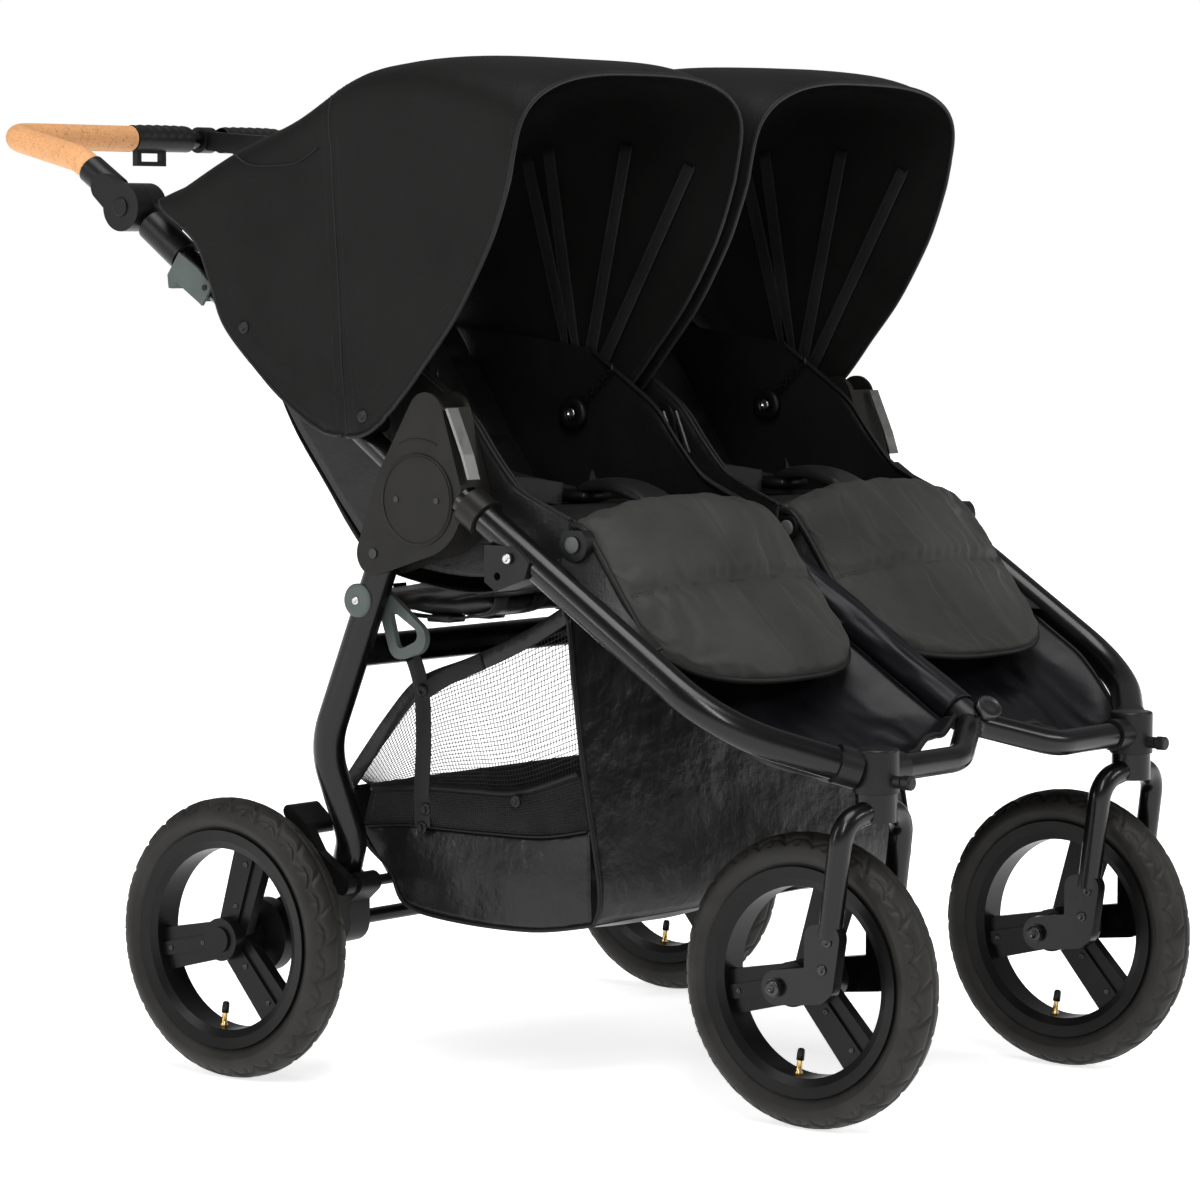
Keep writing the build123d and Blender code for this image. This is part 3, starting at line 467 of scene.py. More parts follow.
def cushion_rows(across, along, surface, thickness):
    """Top and bottom grids of a cushion. surface gives (point, normal) for u and v in 0 to 1."""
    top, bottom = [], []
    for j in range(along + 1):
        v = j / along
        upper, lower = [], []
        for i in range(across + 1):
            u = i / across
            point, normal = surface(u, v)
            up, down = thickness(u, v)
            upper.append(point + normal * up * MM)
            lower.append(point - normal * down * MM)
        top.append(upper)
        bottom.append(lower)
    return top, bottom


def cushion(name, across, along, surface, thickness, material):
    """A closed stuffed form, thin at its sewn edge."""
    top, bottom = cushion_rows(across, along, surface, thickness)
    rows, columns = along + 1, across + 1
    verts = [p for row in top for p in row] + [p for row in bottom for p in row]
    base = rows * columns
    faces = grid_faces(rows, columns)
    faces += [f[::-1] for f in grid_faces(rows, columns, base=base)]
    rim = list(range(columns))
    rim += [j * columns + columns - 1 for j in range(1, rows)]
    rim += [(rows - 1) * columns + i for i in range(columns - 2, -1, -1)]
    rim += [j * columns for j in range(rows - 2, 0, -1)]
    for a, b in zip(rim, rim[1:] + rim[:1]):
        faces.append((b, a, base + a, base + b))
    return make_object(name, verts, faces, material)


def puff(made, seams, pressure, cap, frames=20):
    """Blows a cushion up as cloth with its seams held, so that it wrinkles as sewn padding does.

    seams gives how firmly a point is held, 0 to 1; no point moves by more than cap mm.
    """
    held = made.vertex_groups.new(name="seams")
    for vertex in made.data.vertices:
        weight = seams(vertex.co)
        if weight > 0:
            held.add([vertex.index], weight, "REPLACE")
    sim = made.modifiers.new("cloth", "CLOTH")
    sim.settings.use_pressure = True
    sim.settings.uniform_pressure_force = pressure
    sim.settings.effector_weights.gravity = 0.0
    sim.settings.vertex_group_mass = "seams"
    sim.settings.quality = 6
    sim.settings.shrink_min = -0.03
    sim.settings.tension_stiffness = 12
    sim.settings.bending_stiffness = 0.3
    sim.collision_settings.use_collision = False
    sim.point_cache.frame_end = frames
    before = [v.co.copy() for v in made.data.vertices]
    for number in range(1, frames + 1):
        bpy.context.scene.frame_set(number)
    bake(made)
    bpy.context.scene.frame_set(1)
    for vertex, old in zip(made.data.vertices, before):
        move = vertex.co - old
        if move.length > cap * MM:
            vertex.co = old + move.normalized() * cap * MM
    made.data.polygons.foreach_set("use_smooth", [True] * len(made.data.polygons))
    return made


def refine(made):
    """One subdivision, applied."""
    subdivision = made.modifiers.new("subdivision", "SUBSURF")
    subdivision.levels = subdivision.render_levels = 1
    return bake(made)


# ---------------------------------------------------------------- hoods
HOOD_IN, HOOD_OUT = 11.5, 370.0
ROOF = [(105, 901), (85, 914), (1, 953), (-81, 984), (-155, 1022), (-208, 1033), (-262, 1036),
        (-325, 1033), (-362, 1028), (-392, 1018)]
EAVES = [(88, 884), (45, 853), (24, 812), (2, 766), (-57, 709), (-112, 671), (-150, 661),
         (-188, 665), (-231, 699), (-270, 743), (-307, 788), (-342, 845), (-358, 880), (-370, 914)]
HOOD_ROWS, HOOD_SIDE, HOOD_ARCH = 120, 26, 56
REAR_ARCH, REAR_POWER = 53.0, 4.5     # squarish roof over the back of the seat
FRONT_ARCH, FRONT_POWER = 78.0, 2.8   # rounded opening in front
HOOD_SEAM = 0.505                     # where the seam across the roof lies, from back to front


def hood_section(low, high, share):
    """Points of an upside-down U from one lower edge over the roof to the other."""
    rise = Vector(high) - Vector(low)
    height = rise.length
    up = rise / height
    t = min(max((share - 0.6) / 0.4, 0), 1)
    t = t * t * (3 - 2 * t)
    arch = min(REAR_ARCH + (FRONT_ARCH - REAR_ARCH) * t, height * 0.92)
    power = REAR_POWER + (FRONT_POWER - REAR_POWER) * t
    straight = height - arch
    middle, half = (HOOD_OUT + HOOD_IN) / 2, (HOOD_OUT - HOOD_IN) / 2
    flat = [(HOOD_IN, straight * k / HOOD_SIDE) for k in range(HOOD_SIDE)]
    for k in range(HOOD_ARCH + 1):
        across, above = math.cos(math.pi * k / HOOD_ARCH), math.sin(math.pi * k / HOOD_ARCH)
        reach = (abs(across) ** power + above ** power) ** (-1 / power)
        flat.append((middle - half * across * reach, straight + arch * above * reach))
    flat += [(HOOD_OUT, straight * (1 - k / HOOD_SIDE)) for k in range(1, HOOD_SIDE + 1)]
    return [(x, low[0] + up.x * h, low[1] + up.y * h) for x, h in flat]


def hood_ripple(x, y, z, share, side_face):
    """Small pulls in the fabric: creases that fan out from the hinge, and soft dents above."""
    reach = math.hypot(y - HOOD_HINGE[0], z - HOOD_HINGE[1])
    angle = math.atan2(z - HOOD_HINGE[1], y - HOOD_HINGE[0])
    fan = noise.noise(Vector((angle * 7, reach / 160, x / 400))) * 3.2 * math.exp(-reach / 170)
    soft = noise.noise(Vector((x / 120, y / 90, z / 90))) * 1.4
    seam = -0.8 * math.exp(-((share - HOOD_SEAM) * 620 / 5) ** 2)
    return (fan if side_face else 0.4 * fan) + soft + seam


def make_hood(name, s):
    """One hood as a single sheet with its hem binding, roof seam and stitching."""
    def lifted(points, by):
        middle = at(s * 190, -150, 800)
        return [p + (p - middle).normalized() * by * MM for p in points]

    roof = smooth_line(ROOF, HOOD_ROWS)
    eaves = smooth_line(EAVES, HOOD_ROWS)
    rows = []
    for i, (high, low) in enumerate(zip(roof, eaves)):
        share = i / (HOOD_ROWS - 1)
        row = hood_section(low, high, share)
        moved = []
        for j, (x, y, z) in enumerate(row):
            side_face = min(j, len(row) - 1 - j) < HOOD_SIDE
            dent = hood_ripple(x, y, z, share, side_face)
            if side_face:
                outward = 1 if x > 200 else -1
                keep = max(min(dent, 0.6 if x < 200 else 1.5), -3.0)
                moved.append(at(s * (x + outward * keep), y, z))
            else:
                moved.append(at(s * x, y, z + dent * 0.7))
        rows.append(moved if s > 0 else moved[::-1])
    hood = cloth(f"{name}_hood_cover", rows, 1.6, HOOD)
    edge_front = [row[0] for row in rows[HOOD_ROWS // 2:]] + rows[-1][1:-1]
    edge_front += [row[-1] for row in rows[HOOD_ROWS // 2:]][::-1]
    edge_rear = [row[0] for row in rows[:HOOD_ROWS // 2]][::-1] + rows[0][1:-1]
    edge_rear += [row[-1] for row in rows[:HOOD_ROWS // 2]]
    hems = [tube("hem", smooth_line(edge_front, 220), 2.3, PIPING, 8),
            tube("hem", smooth_line(edge_rear, 200), 1.7, PIPING, 8)]
    seam = round(HOOD_SEAM * (HOOD_ROWS - 1))
    hems.append(tube("hem", smooth_line(lifted(rows[seam], 0.9), 160), 0.9, PIPING, 6))
    hem = join(f"{name}_hood_binding", hems)
    rows_of_thread = [stitches("thread", smooth_line(lifted(rows[seam + offset], 0.9), 160))
                      for offset in (-2, 2)]
    inset = [row[3] for row in rows[HOOD_ROWS // 2 + 6:-3]] + rows[-4][4:-4]
    inset += [row[-4] for row in rows[HOOD_ROWS // 2 + 6:-3]][::-1]
    rows_of_thread.append(stitches("thread", smooth_line(lifted(inset, 0.95), 200)))
    thread = join(f"{name}_hood_stitching", rows_of_thread)
    for piece in (hood, hem, thread):
        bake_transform(piece)
    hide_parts(f"{name}_canopy_front", f"{name}_canopy_rear")


RATCHETS = ((27.0, 1), (313.4, -1))   # place across, and the side they face


def make_hood_trim(name, s):
    """Window flap behind, snaps on the outer side, tapes inside and the hinge ratchets."""
    outer = s * (HOOD_OUT + 1.6)
    flap_edge = smooth_line([(-8, 943), (-30, 931), (-62, 929), (-96, 932), (-124, 946)], 30)
    flap = tube(f"{name}_flap_seam", [at(outer - s * 0.4, y, z) for y, z in flap_edge], 0.9,
                PIPING, 6)
    settle(flap, "handle_frame", "hood_fabric")
    snaps = []
    for y, z in ((-23, 767), (-182, 681)):
        head = [(0, 6.6), (1.2, 6.6), (2.0, 5.6), (2.3, 3.4), (1.6, 2.4), (1.6, 0.05)]
        snaps.append(turned("snap", at(outer - s * 0.6, y, z), (s, 0, 0), head, PLASTIC))
    settle(join(f"{name}_hood_snaps", snaps), "handle_frame", "black_plastic")
    ratchets = []
    for x, facing in RATCHETS:
        place = at(s * x, *HOOD_HINGE)
        axis = (s * facing, 0, 0)
        disc = [(0, 17), (4, 17), (6, 15.5), (7, 12), (7.4, 8), (6.2, 7.6), (6.2, 0.05)]
        ratchets.append(turned("ratchet", place, axis, disc, PLASTIC, 40))
        teeth = []
        for k in range(11):
            t = 20 + k * 5.4
            wave = 3.4 if k % 2 else -3.4
            teeth.append(at(s * (x + facing * 3.5), HOOD_HINGE[0] - t * 0.73 - wave * 0.7,
                            HOOD_HINGE[1] + t * 0.69 - wave * 0.7))
        ratchets.append(tube("ratchet", teeth, 1.9, PLASTIC, 6))
    settle(join(f"{name}_hood_ratchets", ratchets), "handle_frame", "black_plastic")
    bolts = [screw("bolt", at(s * (x + facing * 6.2), *HOOD_HINGE), (s * facing, 0, 0), 5.6,
                   STEEL, 2.4) for x, facing in RATCHETS]
    settle(join(f"{name}_hood_bolts", bolts), "handle_frame", "steel")
    for body, label, inset, tops in (("handle_frame", "rear", 3.2, ((-98, 944), (-128, 952))),
                                     (f"{name}_hood", "front", 6.8, ((-236, 952), (-318, 930)))):
        tapes = []
        for x in (HOOD_IN + inset, HOOD_OUT - inset):
            for y, z in tops:
                foot = Vector(HOOD_HINGE).lerp(Vector((y, z)), 0.16)
                line = [foot.lerp(Vector((y, z)), k / 24) for k in range(25)]
                tapes.append(strap("tape", [at(s * x, p.x, p.y) for p in line], (0, 1, -0.3),
                                   15, 1.2, WEBBING))
                for edge in (-6.6, 6.6):
                    cord = [at(s * x, p.x + edge, p.y) for p in line]
                    tapes.append(tube("tape", cord, 1.0, WEBBING, 6))
        settle(join(f"{name}_hood_tapes_{label}", tapes), body, "hood_fabric")


# ---------------------------------------------------------------- leg pads
PAD_LINE = [(-404, 588), (-424, 584), (-447, 561), (-480, 517), (-513, 474), (-541, 444),
            (-566, 424)]
PAD_SEAM = 0.47        # where the quilting seam crosses, as a share of the pad's length
PAD_X, SEAT_X = 171, 168


def pad_reach(a):
    """How far down a column of the leg pad goes: its lower corners are well rounded."""
    return 0.60 + 0.40 * max(1 - abs(a) ** 2.6, 0) ** (1 / 2.2)


def make_leg_pad(name, s):
    """The quilted pad over the front of a seat, its piping, and the cloth beside it."""
    line = smooth_line(PAD_LINE, 81)

    def on_line(t):
        k = min(max(t, 0), 0.9999) * 80
        i = int(k)
        return line[i].lerp(line[i + 1], k - i), (line[i + 1] - line[i]).normalized()

    def surface(u, v):
        a = 2 * u - 1
        reach = pad_reach(a) * v
        (y, z), run = on_line(reach)
        half = 147 + 7 * math.sin(math.pi * min(reach, 1) * 0.8)
        bow = 7 * (1 - a * a) - 9 * abs(a) ** 3
        normal = Vector((0.16 * a ** 3, run.y, -run.x))
        return at(s * (PAD_X + a * half), y + run.y * bow, z - run.x * bow), normal.normalized()

    def thickness(u, v):
        a = 2 * u - 1
        reach = pad_reach(a) * v
        rim = soft_rim(a, 2 * v - 1, 5, 6)
        seam = 1 - 0.72 * math.exp(-((reach - PAD_SEAM) / 0.035) ** 2)
        pull = math.exp(-abs(reach - PAD_SEAM) / 0.12) + math.exp(-(1 - v) / 0.12)
        creases = 1 + 0.25 * noise.noise(Vector((a * 5.0 + 3 * s, reach * 1.6, 2.0)))
        creases += 0.42 * pull * noise.noise(Vector((a * 13.0, reach * 2.5 + s, 7.0)))
        return 1.6 + 11.0 * rim * seam * creases, 1.4 + 5.0 * rim
    pad = cushion(f"{name}_leg_pad_cover", 72, 54, surface, thickness, QUILT)

    def seams(co):
        y, z = (co.y - AXLE_Y) / MM, co.z / MM
        near = min((math.hypot(y - p.x, z - p.y), i) for i, p in enumerate(line))
        a = abs((s * co.x / MM - PAD_X) / 150)
        on_seam = abs(near[1] / 80 - PAD_SEAM) < 0.012
        edge = a > 0.985 or near[1] / 80 > pad_reach(min(a, 1)) - 0.012 or near[1] < 1
        return 1.0 if on_seam or edge else 0.0
    puff(pad, seams, 3.0, 7.0)
    settle(refine(pad), "frame", "seat_fabric", f"{name}_leg_pad")
    edge = [surface(0, k / 30)[0] for k in range(31)]
    edge += [surface(k / 40, 1)[0] for k in range(1, 41)]
    edge += [surface(1, 1 - k / 30)[0] for k in range(1, 31)]
    piping = tube(f"{name}_leg_pad_piping", smooth_line(edge, 150), 3.5, PIPING, 8)
    settle(piping, "frame", "seat_fabric")
    rows_of_thread = []
    for offset in (-0.006, 0.006):
        path = []
        for k in range(60):
            u = 0.01 + 0.98 * k / 59
            a = 2 * u - 1
            point, normal = surface(u, min((PAD_SEAM + offset) / pad_reach(a), 1))
            path.append(point + normal * 4.8 * MM)
        rows_of_thread.append(stitches("thread", path))
    settle(join(f"{name}_leg_pad_stitching", rows_of_thread), "frame", "seat_fabric")
    skirts = []
    for x_pad, x_rail, rail_z, slope in ((PAD_X + 143, 341, 601, 0.6538),
                                         (PAD_X - 143, 13, 607, 0.6465)):
        rows = []
        for p in line[:58]:
            low = Vector((x_rail, p.x, rail_z + (p.x + 300) * slope + 2))
            high = Vector((x_pad, p.x, max(p.y - 5, low.z + 2)))
            row = [high.lerp(low, k / 10) for k in range(11)]
            rows.append([at(s * q.x, q.y, q.z + ripple((q.y / 1000, q.z / 1000, s), 0.03, 2.0))
                         for q in row])
        skirts.append(cloth("skirt", rows, 1.4, LINING))
    skirts = settle(join(f"{name}_leg_pad_skirts", skirts), "frame", "seat_fabric")


# ---------------------------------------------------------------- seats
def make_seat(name, s):
    """Seat and back cushions, harness, crotch pad and buckle."""
    def base_surface(u, v):
        a = 2 * u - 1
        y = -186 - 226 * v
        dip = 10 * (1 - a * a) * math.sin(math.pi * v)
        return at(s * (SEAT_X + 143 * a), y, 566 + 12 * v - dip * 0.5), Vector((0, 0, 1))

    def base_thickness(u, v):
        a = 2 * u - 1
        rim = soft_rim(a, 2 * v - 1, 6, 6)
        channel = 1 - 0.4 * math.exp(-((abs(a) - 0.45) / 0.05) ** 2)
        return 4 + 15 * rim * channel, 4 + 26 * rim
    seat = cushion(f"{name}_seat_cushion", 48, 40, base_surface, base_thickness, LINING)
    puff(seat, lambda co: 0.0, 1.5, 4.0, 8)
    settle(refine(seat), "frame", "seat_fabric", f"{name}_seat_base")

    tilt = math.radians(55)
    run = Vector((math.cos(tilt), math.sin(tilt)))
    face = Vector((0, -math.sin(tilt), math.cos(tilt)))

    def back_point(t, lift=0.0):
        return (-152 + run.x * t - math.sin(tilt) * lift, 556 + run.y * t + math.cos(tilt) * lift)

    def back_surface(u, v):
        a = 2 * u - 1
        y, z = back_point(18 + 378 * v)
        hollow = 7 * (1 - a * a)
        point = at(s * (172 + 139 * a), y + math.sin(tilt) * hollow, z - math.cos(tilt) * hollow)
        return point, face

    def back_thickness(u, v):
        rim = soft_rim(2 * u - 1, 2 * v - 1, 8, 8)
        channels = 1.0
        for line in (0.25, 0.5, 0.75):
            channels -= 0.5 * math.exp(-((v - line) / 0.018) ** 2)
        return 4 + 15 * rim * channels, 3 + 8 * rim
    back = cushion(f"{name}_back_cushion", 48, 72, back_surface, back_thickness, LINING)
    puff(back, lambda co: 0.0, 1.5, 4.0, 8)
    settle(refine(back), f"{name}_back", "seat_fabric", f"{name}_backrest")

    straps, pads = [], []
    for shift in (-52, 52):
        line = []
        for t, lift in ((372, 20), (300, 24), (200, 25), (110, 26), (60, 30)):
            y, z = back_point(t, lift)
            line.append(at(s * (SEAT_X + shift * (0.75 + t / 1500)), y, z))
        line.append(at(s * (SEAT_X + shift * 0.5), -240, 606))
        line.append(at(s * (SEAT_X + shift * 0.35), -282, 603))
        path = smooth_line(line, 60)
        straps.append(strap("strap", path, (1, 0, 0), 26, 1.8, WEBBING))
        pads.append(strap("pad", [p + face * 3 * MM for p in path[10:34]], (1, 0, 0), 44, 7.0,
                          LINING))
    harness = join(f"{name}_shoulder_straps", straps)
    covers = join(f"{name}_strap_pads", pads)
    for piece in (harness, covers):
        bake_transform(piece)
    laps = []
    for outward in (-1, 1):
        line = [at(s * (SEAT_X + reach * outward), y, z) for reach, y, z in
                ((138, -206, 592), (100, -236, 606), (58, -268, 606), (26, -292, 600))]
        laps.append(strap("lap", smooth_line(line, 24), (0, 0.5, 1), 25, 1.8, WEBBING))
    settle(join(f"{name}_lap_straps", laps), "frame", "seat_fabric")

    def tongue(u, v):
        a = 2 * u - 1
        y, z = Vector((-400, 592)).lerp(Vector((-306, 606)), v)
        point = at(s * (SEAT_X + 27 * a * (1 - 0.25 * v)), y, z + 8 * math.sin(math.pi * v))
        return point, Vector((0, 0, 1))
    crotch = cushion(f"{name}_crotch_pad", 14, 22, tongue,
                     lambda u, v: (2 + 7 * soft_rim(2 * u - 1, 2 * v - 1, 4, 4), 4), LINING)
    settle(refine(crotch), "frame", "seat_fabric")

    def buckle_section(t):
        wide = 22 + 5 * math.sin(math.pi * t)
        tall = 5.5 + 2.5 * math.sin(math.pi * t) ** 0.5
        return [(wide * MM * math.cos(a),
                 tall * MM * abs(math.sin(a)) ** 0.7 * (1 if math.sin(a) >= 0 else -1))
                for a in (2 * math.pi * k / 28 for k in range(28))]
    rings = rings_along([at(s * SEAT_X, -282 - 36 * k / 14, 598) for k in range(15)],
                        buckle_section)
    body = make_object("buckle", [p for ring in rings for p in ring], capped_faces(15, 28),
                       PLASTIC)
    button = turned("buckle", at(s * SEAT_X, -300, 605.2), (0, 0, 1),
                    [(0, 9), (1.2, 9), (2.2, 7.6), (2.4, 5), (1.6, 4.4), (1.6, 0.05)], PLASTIC)
    settle(join(f"{name}_buckle", [body, button]), "frame", "black_plastic")


def make_wings(name, s):
    """Fabric sides of the seat between the back's outline and the piped front edge."""
    back_edge = smooth_line([(20, 770), (0, 743), (-41, 675), (-88, 614), (-116, 580), (-151, 545),
                             (-200, 531), (-298, 524), (-404, 548)], 60)
    front_edge = smooth_line([(-190, 742), (-246, 705), (-277, 682), (-303, 650), (-330, 620),
                              (-352, 606), (-404, 584)], 60)
    for label, x in (("outer", 318.6), ("inner", 21.6)):
        rows = []
        for back, front in zip(back_edge, front_edge):
            row = []
            for k in range(21):
                t = k / 20
                y, z = back.lerp(front, t)
                wave = ripple((y / 900, z / 900, x / 100), 0.055, 2.2) * math.sin(math.pi * t)
                row.append(at(s * (x + min(wave, 0.8)), y, z))
            rows.append(row)
        wing = cloth(f"{name}_{label}_side_panel", rows, 1.4, LINING)
        line = [row[-1] for row in rows]
        edge = tube("piping", smooth_line(line, 90), 2.4, PIPING, 8)
        inward = Vector((-s * 3.0 if label == "outer" else s * 3, 0, 0)) * MM
        second = [p + Vector((0, -5.5, -3.0)) * MM + inward for p in line]
        second = tube("piping", smooth_line(second, 90), 1.8, PIPING, 8)
        piping = join(f"{name}_{label}_side_piping", [edge, second])
        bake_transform(wing)
        settle(piping, "frame", "seat_fabric")


# ---------------------------------------------------------------- footwell
RAIL_BEND = -632       # the footwell's inner edge flattens out in front of here


def centre_rail_z(y):
    """Height of the centre rail's axis at a distance behind the rear axle."""
    return 607 + (y + 301) * 0.6465


def rail_line(y):
    """Centre of a side rail at a distance behind the rear axle: (x, z)."""
    if y > -560:
        return 354, 601 + (y + 300) * 0.6538
    t = min((y + 560) / -131, 1.0)
    return 354 - 12 * t - 99 * t ** 2.2, 431 - 77 * math.sin(t * math.pi / 2) ** 1.1


def make_footwell(name, s):
    """The coated fabric slung between the rails for the feet."""
    rows = []
    for j in range(61):
        v = j / 60
        row = []
        for i in range(61):
            u = i / 60
            front = -684 + 34 * (1 - u) ** 2 + 10 * u ** 6
            y = -428 + (front + 428) * v
            x_out, z_out = rail_line(y)
            inner = 15 + 3 * v
            x = inner + (x_out - 15 - inner) * u
            z_in = centre_rail_z(max(y, RAIL_BEND)) - 12 - min(y - RAIL_BEND, 0) * 0.1
            edge = z_in * (1 - u) + (z_out - 9) * u
            sag = 42 * (1 - (2 * u - 1) ** 4) * math.sin(math.pi * (0.12 + 0.80 * v)) ** 0.8
            fold = ripple((x / 1000, y / 1000, 0.3 * s), 0.06, 11.0) + abs(
                ripple((x / 1000, y / 2200, 0.7 * s), 0.028, 7.0))
            fold *= 1 - (2 * u - 1) ** 4
            row.append(at(s * x, y, edge - sag + fold))
        rows.append(row)
    well = cloth(f"{name}_footwell_cover", rows, 1.4, COATED)
    lip = [p + Vector((0, 0, 1.5)) * MM for p in rows[-1]]
    binding = tube("binding", smooth_line(lip, 60), 3.2, PIPING, 8)
    inner_edge = tube("binding", smooth_line([row[0] for row in rows], 60), 2.2, PIPING, 8)
    outer_edge = tube("binding", smooth_line([row[-1] for row in rows], 60), 2.2, PIPING, 8)
    trim = join(f"{name}_footwell_binding", [binding, inner_edge, outer_edge])
    settle(trim, "frame", "coated_fabric")
    settle(well, "frame", "coated_fabric")


def make_rail_sleeve():
    """Footwell fabric wrapped over the centre rail."""
    rows = []
    for j in range(61):
        y = -424 - 216 * j / 60
        z = centre_rail_z(y)
        row = []
        for i in range(25):
            a = math.radians(-112 + 224 * i / 24)
            r = 18.4 + ripple((a / 4, y / 1000, 3.0), 0.05, 2.2) + 1.5 * (1 - math.cos(a))
            row.append(at(r * math.sin(a), y - 0.54 * r * math.cos(a), z + 0.84 * r * math.cos(a)))
        rows.append(row)
    sleeve = cloth("centre_rail_sleeve", rows, 1.4, COATED)
    settle(sleeve, "frame", "coated_fabric")


# ---------------------------------------------------------------- basket
BASKET_X = 267.0
RIM_LINE = [(-70, 298), (-96, 330), (-124, 363), (-158, 398), (-186, 413), (-228, 427),
            (-270, 443), (-316, 464), (-358, 487)]
FLOOR_LINE = [(-70, 298), (-88, 245), (-124, 214), (-146, 180), (-210, 169), (-312, 168),
              (-390, 180)]
CORNER_LINE = [(-358, 487), (-376, 343), (-398, 217), (-391, 180)]
POCKET_TOP = [(-104, 296), (-150, 300), (-176, 302), (-240, 303), (-300, 306), (-374, 330)]
SOLID_TOP = [(-92, 256), (-146, 262), (-180, 262), (-260, 262), (-330, 264), (-386, 274)]
SOLID_LOW = [(-80, 268), (-110, 226), (-136, 194), (-158, 178), (-250, 169), (-330, 171),
             (-389, 183)]
WINDOW_TOP = [(-82, 306), (-124, 352), (-158, 388), (-188, 406), (-270, 436), (-352, 470),
              (-361, 474)]
BASKET_SNAPS = ((5.2, -174, 401), (9.0, -181, 281), (10.0, -300, 298), (9.0, -176, 262))


def between(upper, lower, count_along, count_down, x, depth=0.0, seed=0.0):
    """A side panel between two profile curves, with a little billow."""
    top, low = smooth_line(upper, count_along), smooth_line(lower, count_along)
    rows = []
    for i, (a, b) in enumerate(zip(top, low)):
        share = i / (count_along - 1)
        row = []
        for k in range(count_down):
            t = k / (count_down - 1)
            y, z = a.lerp(b, t)
            bulge = depth * math.sin(math.pi * t) * math.sin(math.pi * share)
            wave = ripple((y / 1000, z / 1000, seed), 0.06, 2.0) * math.sin(math.pi * t)
            row.append(at(x + (bulge + wave) * (1 if x > 0 else -1), y, z))
        rows.append(row)
    return rows


def net(name, rows, thread):
    """Open mesh cloth made of its threads."""
    made = make_object(name, [p for row in rows for p in row],
                       grid_faces(len(rows), len(rows[0])), MESH_CLOTH, False)
    wire = made.modifiers.new("threads", "WIREFRAME")
    wire.thickness = thread * MM
    wire.use_even_offset = False
    return bake(made)


def make_basket():
    """The shopping basket: front wall, floor, and on each side pocket, net, hems and straps."""
    squashed = []
    front = []
    for j, (y, z) in enumerate(smooth_line([(-357, 489), (-375, 343), (-397, 220), (-390, 181)],
                                           41)):
        v = j / 40
        row = []
        for i in range(61):
            a = 2 * i / 60 - 1
            belly = -5 * (1 - a ** 4) * math.sin(math.pi * v)
            dent = ripple((a * 0.27, z / 1000, 0.0), 0.12, 4.0) * (1 - a ** 6)
            row.append(at(a * BASKET_X, max(y + belly + dent, -403), z))
        front.append(row)
    wall = cloth("basket_front_wall", front, 1.6, BASKET_CLOTH)
    squashed.append(wall)
    floor_rows = []
    for y, z in smooth_line([(-390, 180), (-312, 169), (-210, 170), (-146, 180), (-124, 216),
                             (-88, 245), (-72, 296)], 60):
        row = []
        for i in range(49):
            a = 2 * i / 48 - 1
            sag = 4 * (1 - a ** 4) + ripple((a * 0.27, y / 1000, 5.0), 0.09, 4.0)
            row.append(at(a * (BASKET_X - 1), y, z - sag if -380 < y < -150 else z))
        floor_rows.append(row)
    floor = cloth("basket_floor", floor_rows, 1.6, BASKET_CLOTH)
    squashed.append(floor)
    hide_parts("basket")
    for name, s in SIDES.items():
        x = s * BASKET_X
        solid = cloth(f"{name}_basket_side", between(SOLID_TOP, SOLID_LOW, 60, 16, x, 6, s), 1.6,
                      BASKET_CLOTH)
        pocket = net(f"{name}_basket_pocket",
                     between(POCKET_TOP, SOLID_TOP, 120, 18, x + s * 2.5, 7, s + 3), 1.5)
        behind = cloth(f"{name}_basket_pocket_back",
                       between(POCKET_TOP, SOLID_TOP, 60, 12, x - s * 2.0, 2, s + 5), 1.0,
                       BASKET_CLOTH)
        window = net(f"{name}_basket_net", between(WINDOW_TOP, POCKET_TOP, 74, 30, x, 3, s + 7),
                     1.05)
        hem = strap(f"{name}_basket_rim", profile_at(x, RIM_LINE, 70), (0, 0.55, -0.84), 17, 2.6,
                    BASKET_CLOTH)
        cords = join(f"{name}_basket_piping", [
            tube("cord", profile_at(x, CORNER_LINE, 50), 2.2, PIPING, 8),
            tube("cord", profile_at(x, FLOOR_LINE, 70), 2.0, PIPING, 8),
            tube("cord", profile_at(x + s * 4, POCKET_TOP, 60), 2.8, PIPING, 8),
            tube("cord", profile_at(x + s * 4.5, SOLID_TOP, 60), 1.3, PIPING, 6)])
        drop = smooth_line([at(x + s * 5, -156, 444), at(x + s * 3, -170, 405),
                            at(x + s * 4, -174, 350), at(x + s * 7, -174, 300),
                            at(x + s * 8, -176, 262)], 30)
        hanger = strap("hanger", drop, (0, 1, 0), 20, 2.0, WEBBING)
        branch = smooth_line([at(x + s * 4, -172, 398), at(x + s * 3, -205, 416),
                              at(x + s * 2, -250, 434)], 16)
        branch = strap("hanger", branch, (0, 0.5, -0.86), 17, 1.8, WEBBING)
        hanger = join(f"{name}_basket_strap", [hanger, branch])
        head = [(0, 6.5), (1.4, 6.5), (2.3, 5.4), (2.6, 3.2), (1.8, 2.4), (1.8, 0.05)]
        snaps = [turned("snap", at(x + s * lift, y, z), (s, 0, 0), head, PLASTIC)
                 for lift, y, z in BASKET_SNAPS]
        snaps = join(f"{name}_basket_snaps", snaps)
        squashed += [solid, pocket, behind, window, hem, cords, hanger, snaps]
    for piece in squashed:
        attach(piece, "frame")
        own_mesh(piece)


